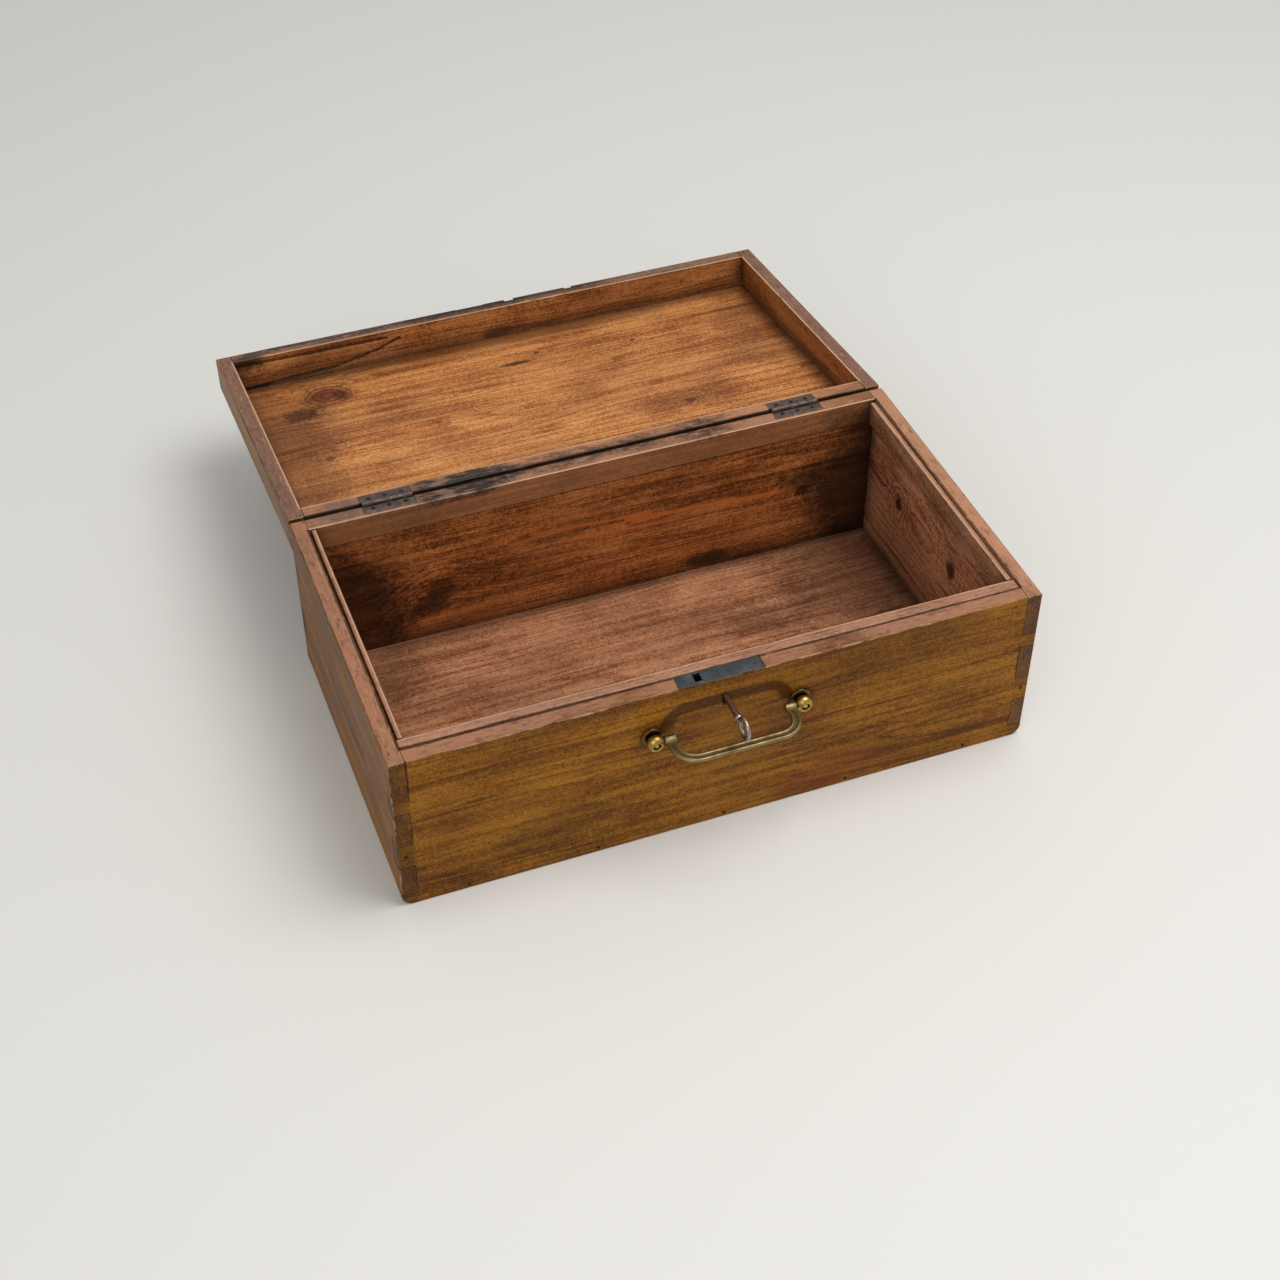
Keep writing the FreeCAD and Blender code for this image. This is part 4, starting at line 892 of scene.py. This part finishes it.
def outer_chains(mesh):
    """The sharp outer edges of a solid, in lists of edges that meet."""
    sharp = []
    for edge in mesh.edges:
        edge.tag = edge.is_manifold and edge.calc_face_angle_signed() > SHARP_ANGLE
        if edge.tag:
            sharp.append(edge)
    chains = []
    for first in sharp:
        if first.tag:
            first.tag = False
            chain = [first]
            for edge in chain:
                for neighbour in (*edge.verts[0].link_edges, *edge.verts[1].link_edges):
                    if neighbour.tag:
                        neighbour.tag = False
                        chain.append(neighbour)
            chains.append(chain)
    return chains


def reach_of(chain):
    """The longest side of the box around a chain of edges."""
    places = [point.co for edge in chain for point in edge.verts]
    return max(max(p[axis] for p in places) - min(p[axis] for p in places) for axis in range(3))


def soften(mesh, width, edges, mark="rounded"):
    """Widens the given edges into two strips each, and marks the strips for the steps that follow."""
    marks = mesh.faces.layers.int.new(mark)
    made = bmesh.ops.bevel(mesh, geom=edges, offset=width, offset_type="OFFSET", affect="EDGES",
                           segments=2, profile=0.5, material=-1, clamp_overlap=False)
    for face in made["faces"]:
        face[marks] = 1


def crests(mesh, mark="rounded"):
    """The points that only marked strips touch, which run along the middle of each widened edge."""
    marks = mesh.faces.layers.int[mark]
    return [point for point in mesh.verts if all(face[marks] for face in point.link_faces)]


print("an edge is sharp past", round(math.degrees(SHARP_ANGLE)), "degrees")

# %% [markdown]
# Two kinds of edge are on a board. One is open to hands and has to look rubbed, and the other lies in a
# joint, where the small groove between two boards is darkened by dirt and by painted shade. The
# difference is whether another board is near, and a search tree of each board answers that quickly.
#
# Some edges stay sharp: those that hold a hinge or the lock in a tight seat, and those where the lid's
# panel was planed flush with its rails.

# %% Edges in a joint or a seat
BOARDS = (
    "front_board", "back_board", "left_side", "right_side", "bottom_board",
    "front_rim_strip", "left_rim_strip", "right_rim_strip",
    "lid_panel", "lid_front_rail", "lid_back_rail", "lid_left_rail", "lid_right_rail",
)
board_trees = {}
for board in BOARDS:
    whole = merged_copy(board)
    board_trees[board] = BVHTree.FromBMesh(whole)
    whole.free()
SEAT_MARGIN = Vector((2, 2, 2)) * MM
ON_PLANE = 0.05


def is_seat(edge, fittings):
    """Whether an edge lies by a fitting that has to keep its tight seat."""
    middle = (edge.verts[0].co + edge.verts[1].co) / 2
    for low, high in map(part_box, fittings):
        if all(a <= m <= b for a, m, b in zip(low - SEAT_MARGIN, middle, high + SEAT_MARGIN)):
            return True
    return False


def is_planed_flush(edge):
    """Whether an edge lies where the lid's panel was planed flush with its rails."""
    return all(abs(shut_place(point.co).z - LID_CEILING) < ON_PLANE for point in edge.verts)


print("search trees for", len(board_trees), "boards")

# %% [markdown]
# A long face has points only at its ends, so it can't be dented in between. Cutting a board into slices
# gives its edges points to move, and gives the cracks small faces to run across. A crack is drawn slice
# by slice, widened by the same bevel as an edge, and its crests are pushed into the wood.

# %% Slices and cracks
CUT_SPACING = 5.0 * MM
CRACK_HALF_WIDTH = 0.7
CRACK_DEPTH = 2.5
CRACK_WANDER = 0.6
CRACK_CLEARANCE = 2.0
SNAP_GAP = 0.02 * MM


def cut_across(mesh, low, high, across):
    """Cuts a board into slices, which gives its long edges points to move."""
    reach = (high - low).dot(across)
    for step in range(1, int(reach / CUT_SPACING)):
        everything = list(mesh.verts) + list(mesh.edges) + list(mesh.faces)
        bmesh.ops.bisect_plane(mesh, geom=everything, dist=MERGE_GAP,
                               plane_co=low + across * (step * CUT_SPACING), plane_no=across)


def height_on(line, x):
    """Height of a crack at x, with a little wandering."""
    for (x0, z0), (x1, z1) in zip(line, line[1:]):
        if x0 <= x <= x1:
            straight = z0 + (z1 - z0) * (x - x0) / (x1 - x0)
            return straight + CRACK_WANDER * wander.noise((0.25 * x, 3.7, 0.0))
    return line[-1][1]


def draw_crack(mesh, line):
    """Draws a line of x and z on the far rail's inner face, slice by slice, and returns its edges."""
    to_open = shut_turn.transposed()
    facing = to_open @ Vector((0, 1, 0))
    slices = []
    for face in mesh.faces:
        places = [shut_place(point.co) for point in face.verts]
        left, right = min(p.x for p in places), max(p.x for p in places)
        on_face = face.normal.dot(facing) > 0.999 and abs(places[0].y - FRONT_INSIDE) < ON_PLANE
        if on_face and left >= line[0][0] and right <= line[-1][0]:
            slices.append((left, right, face))
    edges = []
    for left, right, face in sorted(slices, key=lambda piece: piece[0]):
        start = Vector((left, 0, height_on(line, left)))
        end = Vector((right, 0, height_on(line, right)))
        if max(start.z, end.z) > LID_CEILING - CRACK_CLEARANCE:
            continue
        place = to_open @ (start + Vector((0, FRONT_INSIDE, 0)) - shut_shift) * MM
        upwards = to_open @ Vector((start.z - end.z, 0, right - left)).normalized()
        made = bmesh.ops.bisect_plane(mesh, geom=[face, *face.edges, *face.verts], dist=SNAP_GAP,
                                      plane_co=place, plane_no=upwards)
        edges += [item for item in made["geom_cut"] if isinstance(item, bmesh.types.BMEdge)]
    return edges


def open_cracks(mesh, lines):
    """Widens the drawn lines into grooves and pushes the middle of each groove into the wood."""
    edges = [edge for line in lines for edge in draw_crack(mesh, line)]
    soften(mesh, CRACK_HALF_WIDTH * MM, edges, "crack")
    inwards = shut_turn.transposed() @ Vector((0, -1, 0))
    for point in crests(mesh, "crack"):
        point.co += inwards * (CRACK_DEPTH * MM)


print("cracks to cut", len(CRACKS))

# %% [markdown]
# The CAD boards already have rounded outer edges, with a radius of a millimetre. Their points are pushed
# in by a slow noise, always towards the middle of the box, so that two boards stay flush where they meet.
# The edges that were rounded here are dented along their own normals, but only where hands reach them.

# %% Boards
HOLE_RIM = 60 * MM
NEAR_BOARD = 0.7 * MM
EDGE_ROUNDING = 1.0
DENT_DEPTH = 0.7
LONG_DENTS, SHORT_DENTS = 0.09, 0.33


def bruise(place):
    """How deep an edge is dented at a place, from 0 to about 1."""
    return max(0.0, wander.noise(place * LONG_DENTS) + 0.5 * wander.noise(place * SHORT_DENTS))


def outer_push(place, low, high):
    """The way in from a box's rounded outer edge, shorter towards the flat faces and zero on them."""
    from_low, from_high = place - Vector(low), Vector(high) - place
    gaps = [min(a, b) for a, b in zip(from_low, from_high)]
    share = max(0.0, 1.0 - sorted(gaps)[1] / EDGE_ROUNDING)
    inwards = Vector(1.0 if a < b else -1.0 for a, b in zip(from_low, from_high))
    near = Vector(float(gap < EDGE_ROUNDING) for gap in gaps)
    return (inwards * near).normalized() * share


def worn_board(node, finish, axis, width=0.35, fittings=(), lines=()):
    """A board with rounded, slightly dented edges, its joints marked for dirt and painted shade, and its
    cracks cut.
    """
    mesh = merged_copy(node)
    on_lid = node.startswith("lid_")
    edges = []
    for chain in outer_chains(mesh):
        if reach_of(chain) > HOLE_RIM:
            edges += [e for e in chain if not is_seat(e, fittings) and not (on_lid and is_planed_flush(e))]
    soften(mesh, width * MM, edges)
    cut_across(mesh, *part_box(node), Vector((1, 0, 0)) if axis == "X" else Vector((0, 1, 0)))
    mesh.normal_update()
    if lines:
        open_cracks(mesh, lines)
    worn = mesh.verts.layers.float.new("worn")
    seam = mesh.verts.layers.float.new("seam")
    neighbours = [tree for board, tree in board_trees.items() if board != node]
    for point in crests(mesh):
        joined = any(tree.find_nearest(point.co, NEAR_BOARD)[0] for tree in neighbours)
        point[seam if joined else worn] = 1.0
        if not joined:
            point.co -= point.normal * (bruise(point.co / MM) * 0.5 * width * MM)
    for point in mesh.verts:
        if on_lid:
            place = shut_place(point.co)
            push = shut_turn.transposed() @ outer_push(place, *LID_OUTSIDE)
        else:
            place = point.co / MM
            push = outer_push(place, *BOX_OUTSIDE)
        point.co += push * (bruise(place) * DENT_DEPTH * MM)
    finished_piece(mesh, node, finish)


hinge_leaves = [side + "_hinge_" + part + "_leaf" for side in ("left", "right") for part in ("box", "lid")]
worn_board("front_board", front_finish, "X", fittings=("lock_plate", "lock_case", "key"))
worn_board("back_board", back_finish, "X", fittings=hinge_leaves)
worn_board("left_side", left_finish, "Y")
worn_board("right_side", right_finish, "Y")
worn_board("bottom_board", floor_finish, "X")
worn_board("front_rim_strip", strip_finishes["X"], "X", 1.0)
worn_board("left_rim_strip", strip_finishes["Y"], "Y", 1.0)
worn_board("right_rim_strip", strip_finishes["Y"], "Y", 1.0)
worn_board("lid_panel", panel_finish, "X")
worn_board("lid_front_rail", far_finish, "X", 0.5, lines=CRACKS)
worn_board("lid_back_rail", near_finish, "X", 0.5, hinge_leaves)
worn_board("lid_left_rail", end_finish, "Y", 0.5)
worn_board("lid_right_rail", end_finish, "Y", 0.5)

# %% [markdown]
# Plates and nuts are softened by a fraction of a millimetre. The round pieces, the bail, its posts and
# the key, are smooth already, so they only need the value that says where they are rubbed: it comes
# from how much the surface bulges at each point.

# %% Metal pieces
def worn_plate(node, finish, width=0.12):
    """A flat fitting with its edges just broken."""
    mesh = merged_copy(node)
    soften(mesh, width * MM, [edge for chain in outer_chains(mesh) for edge in chain])
    worn = mesh.verts.layers.float.new("worn")
    for point in crests(mesh):
        point[worn] = 1.0
    finished_piece(mesh, node, finish, sharp=50)


def rubbed_round(node, finish):
    """A turned or bent piece, marked as rubbed where it bulges."""
    mesh = merged_copy(node)
    bmesh.ops.triangulate(mesh, faces=mesh.faces)
    worn = mesh.verts.layers.float.new("worn")
    mesh.normal_update()
    for point in mesh.verts:
        bulge = sum(edge.calc_face_angle_signed(0.0) for edge in point.link_edges)
        point[worn] = min(1.0, max(0.0, bulge * 2.0))
    finished_piece(mesh, node, finish, sharp=35)


for side in ("left", "right"):
    worn_plate(side + "_hinge_box_leaf", hinge_iron)
    worn_plate(side + "_hinge_lid_leaf", hinge_iron)
    rubbed_round(side + "_handle_post", post_brass)
worn_plate("lock_plate", lock_steel)
worn_plate("lock_cover", lock_steel)
worn_plate("handle_nuts", screw_steel, width=0.3)
worn_plate("handle_washers", screw_steel, width=0.2)
rubbed_round("handle_bail", bail_brass)
rubbed_round("key", key_steel)

# %% [markdown]
# The small fasteners and the works of the lock are right as they are, so they keep their nodes and only
# take a finish.

# %% Nodes that only need a finish
plain_nodes = {
    nail_iron: ("corner_nails", "bottom_nails", "strip_pins", "lid_panel_nails"),
    screw_steel: ("box_hinge_screws", "lid_hinge_screws"),
    hinge_iron: ("left_hinge_pin", "right_hinge_pin"),
    lock_steel: ("lock_case", "lock_bolt", "lock_spring", "lock_screws"),
}
for finish, nodes in plain_nodes.items():
    for node in nodes:
        materials = frame["nodes"][node].data.materials
        materials.clear()
        materials.append(finish)
print("finished", sum(len(nodes) for nodes in plain_nodes.values()), "nodes in place")

# %% [markdown]
# ## The studio
#
# The floor is a plain pale sheet with a faint haze in its paint.

# %% Floor
FLOOR_SIZE = 16.0
PAINT_TONE = tone(232, 230, 224)
mesh = bmesh.new()
bmesh.ops.create_grid(mesh, x_segments=1, y_segments=1, size=FLOOR_SIZE / 2)
floor_data = bpy.data.meshes.new("floor")
mesh.to_mesh(floor_data)
mesh.free()
paint = Finish("floor paint")
haze = paint.noise(paint.coordinates.outputs["Object"], detail=2.0)
darker = tuple(0.96 * channel for channel in PAINT_TONE[:3]) + (1.0,)
paint.put(paint.shader.inputs["Base Color"], paint.mix(haze, darker, PAINT_TONE))
paint.shader.inputs["Roughness"].default_value = 0.55
floor_data.materials.append(paint.material)
floor = bpy.data.objects.new("floor", floor_data)
bpy.context.scene.collection.objects.link(floor)
print("floor", FLOOR_SIZE, "m wide")

# %% [markdown]
# One broad lamp stands overhead and to the right, a weaker one at the front left, and an even sky fills
# the shadows. The lamps are large, so that the shadows are soft, and their strength is set so that a
# colour comes out about as it was written.

# %% Lamps and sky
SKY_STRENGTH = 0.45


def soft_lamp(name, place, aim, size, power):
    data = bpy.data.lights.new(name, "AREA")
    data.size = size
    data.energy = power
    lamp = bpy.data.objects.new(name, data)
    lamp.location = place
    lamp.rotation_euler = (Vector(aim) - Vector(place)).to_track_quat("-Z", "Y").to_euler()
    bpy.context.scene.collection.objects.link(lamp)


soft_lamp("overhead lamp", (0.75, -0.35, 2.3), (0.0, 0.1, 0.1), 1.5, 34)
soft_lamp("window lamp", (-1.3, -1.9, 1.5), (0.0, 0.0, 0.1), 1.6, 14)
world = bpy.data.worlds.new("even sky")
world.use_nodes = True
background = world.node_tree.nodes["Background"]
background.inputs["Color"].default_value = (1, 1, 1, 1)
background.inputs["Strength"].default_value = SKY_STRENGTH
scene = bpy.context.scene
scene.world = world
scene.view_settings.view_transform = "Standard"
print("lamps", [light.name for light in bpy.data.lights])

# %% [markdown]
# ## The camera
#
# The photograph was taken from above the front left corner. Its place, lens and slight roll were fitted
# to the box's corners.

# %% Camera
CAMERA_PLACE = Vector((-445.5, -1126.5, 1182.0)) * MM
CAMERA_TARGET = Vector((-9.0, 16.5, 50.0)) * MM
CAMERA_ROLL = math.radians(0.174)
camera_data = bpy.data.cameras.new("photo camera")
camera_data.sensor_width = 36.0
camera_data.lens = 59.74
camera = bpy.data.objects.new("photo camera", camera_data)
camera.location = CAMERA_PLACE
aim = (CAMERA_TARGET - CAMERA_PLACE).to_track_quat("-Z", "Y").to_matrix()
camera.rotation_euler = (aim @ Matrix.Rotation(CAMERA_ROLL, 3, "Z")).to_euler()
scene.collection.objects.link(camera)
scene.camera = camera
print("camera", [round(value, 3) for value in camera.location], "lens", camera_data.lens)
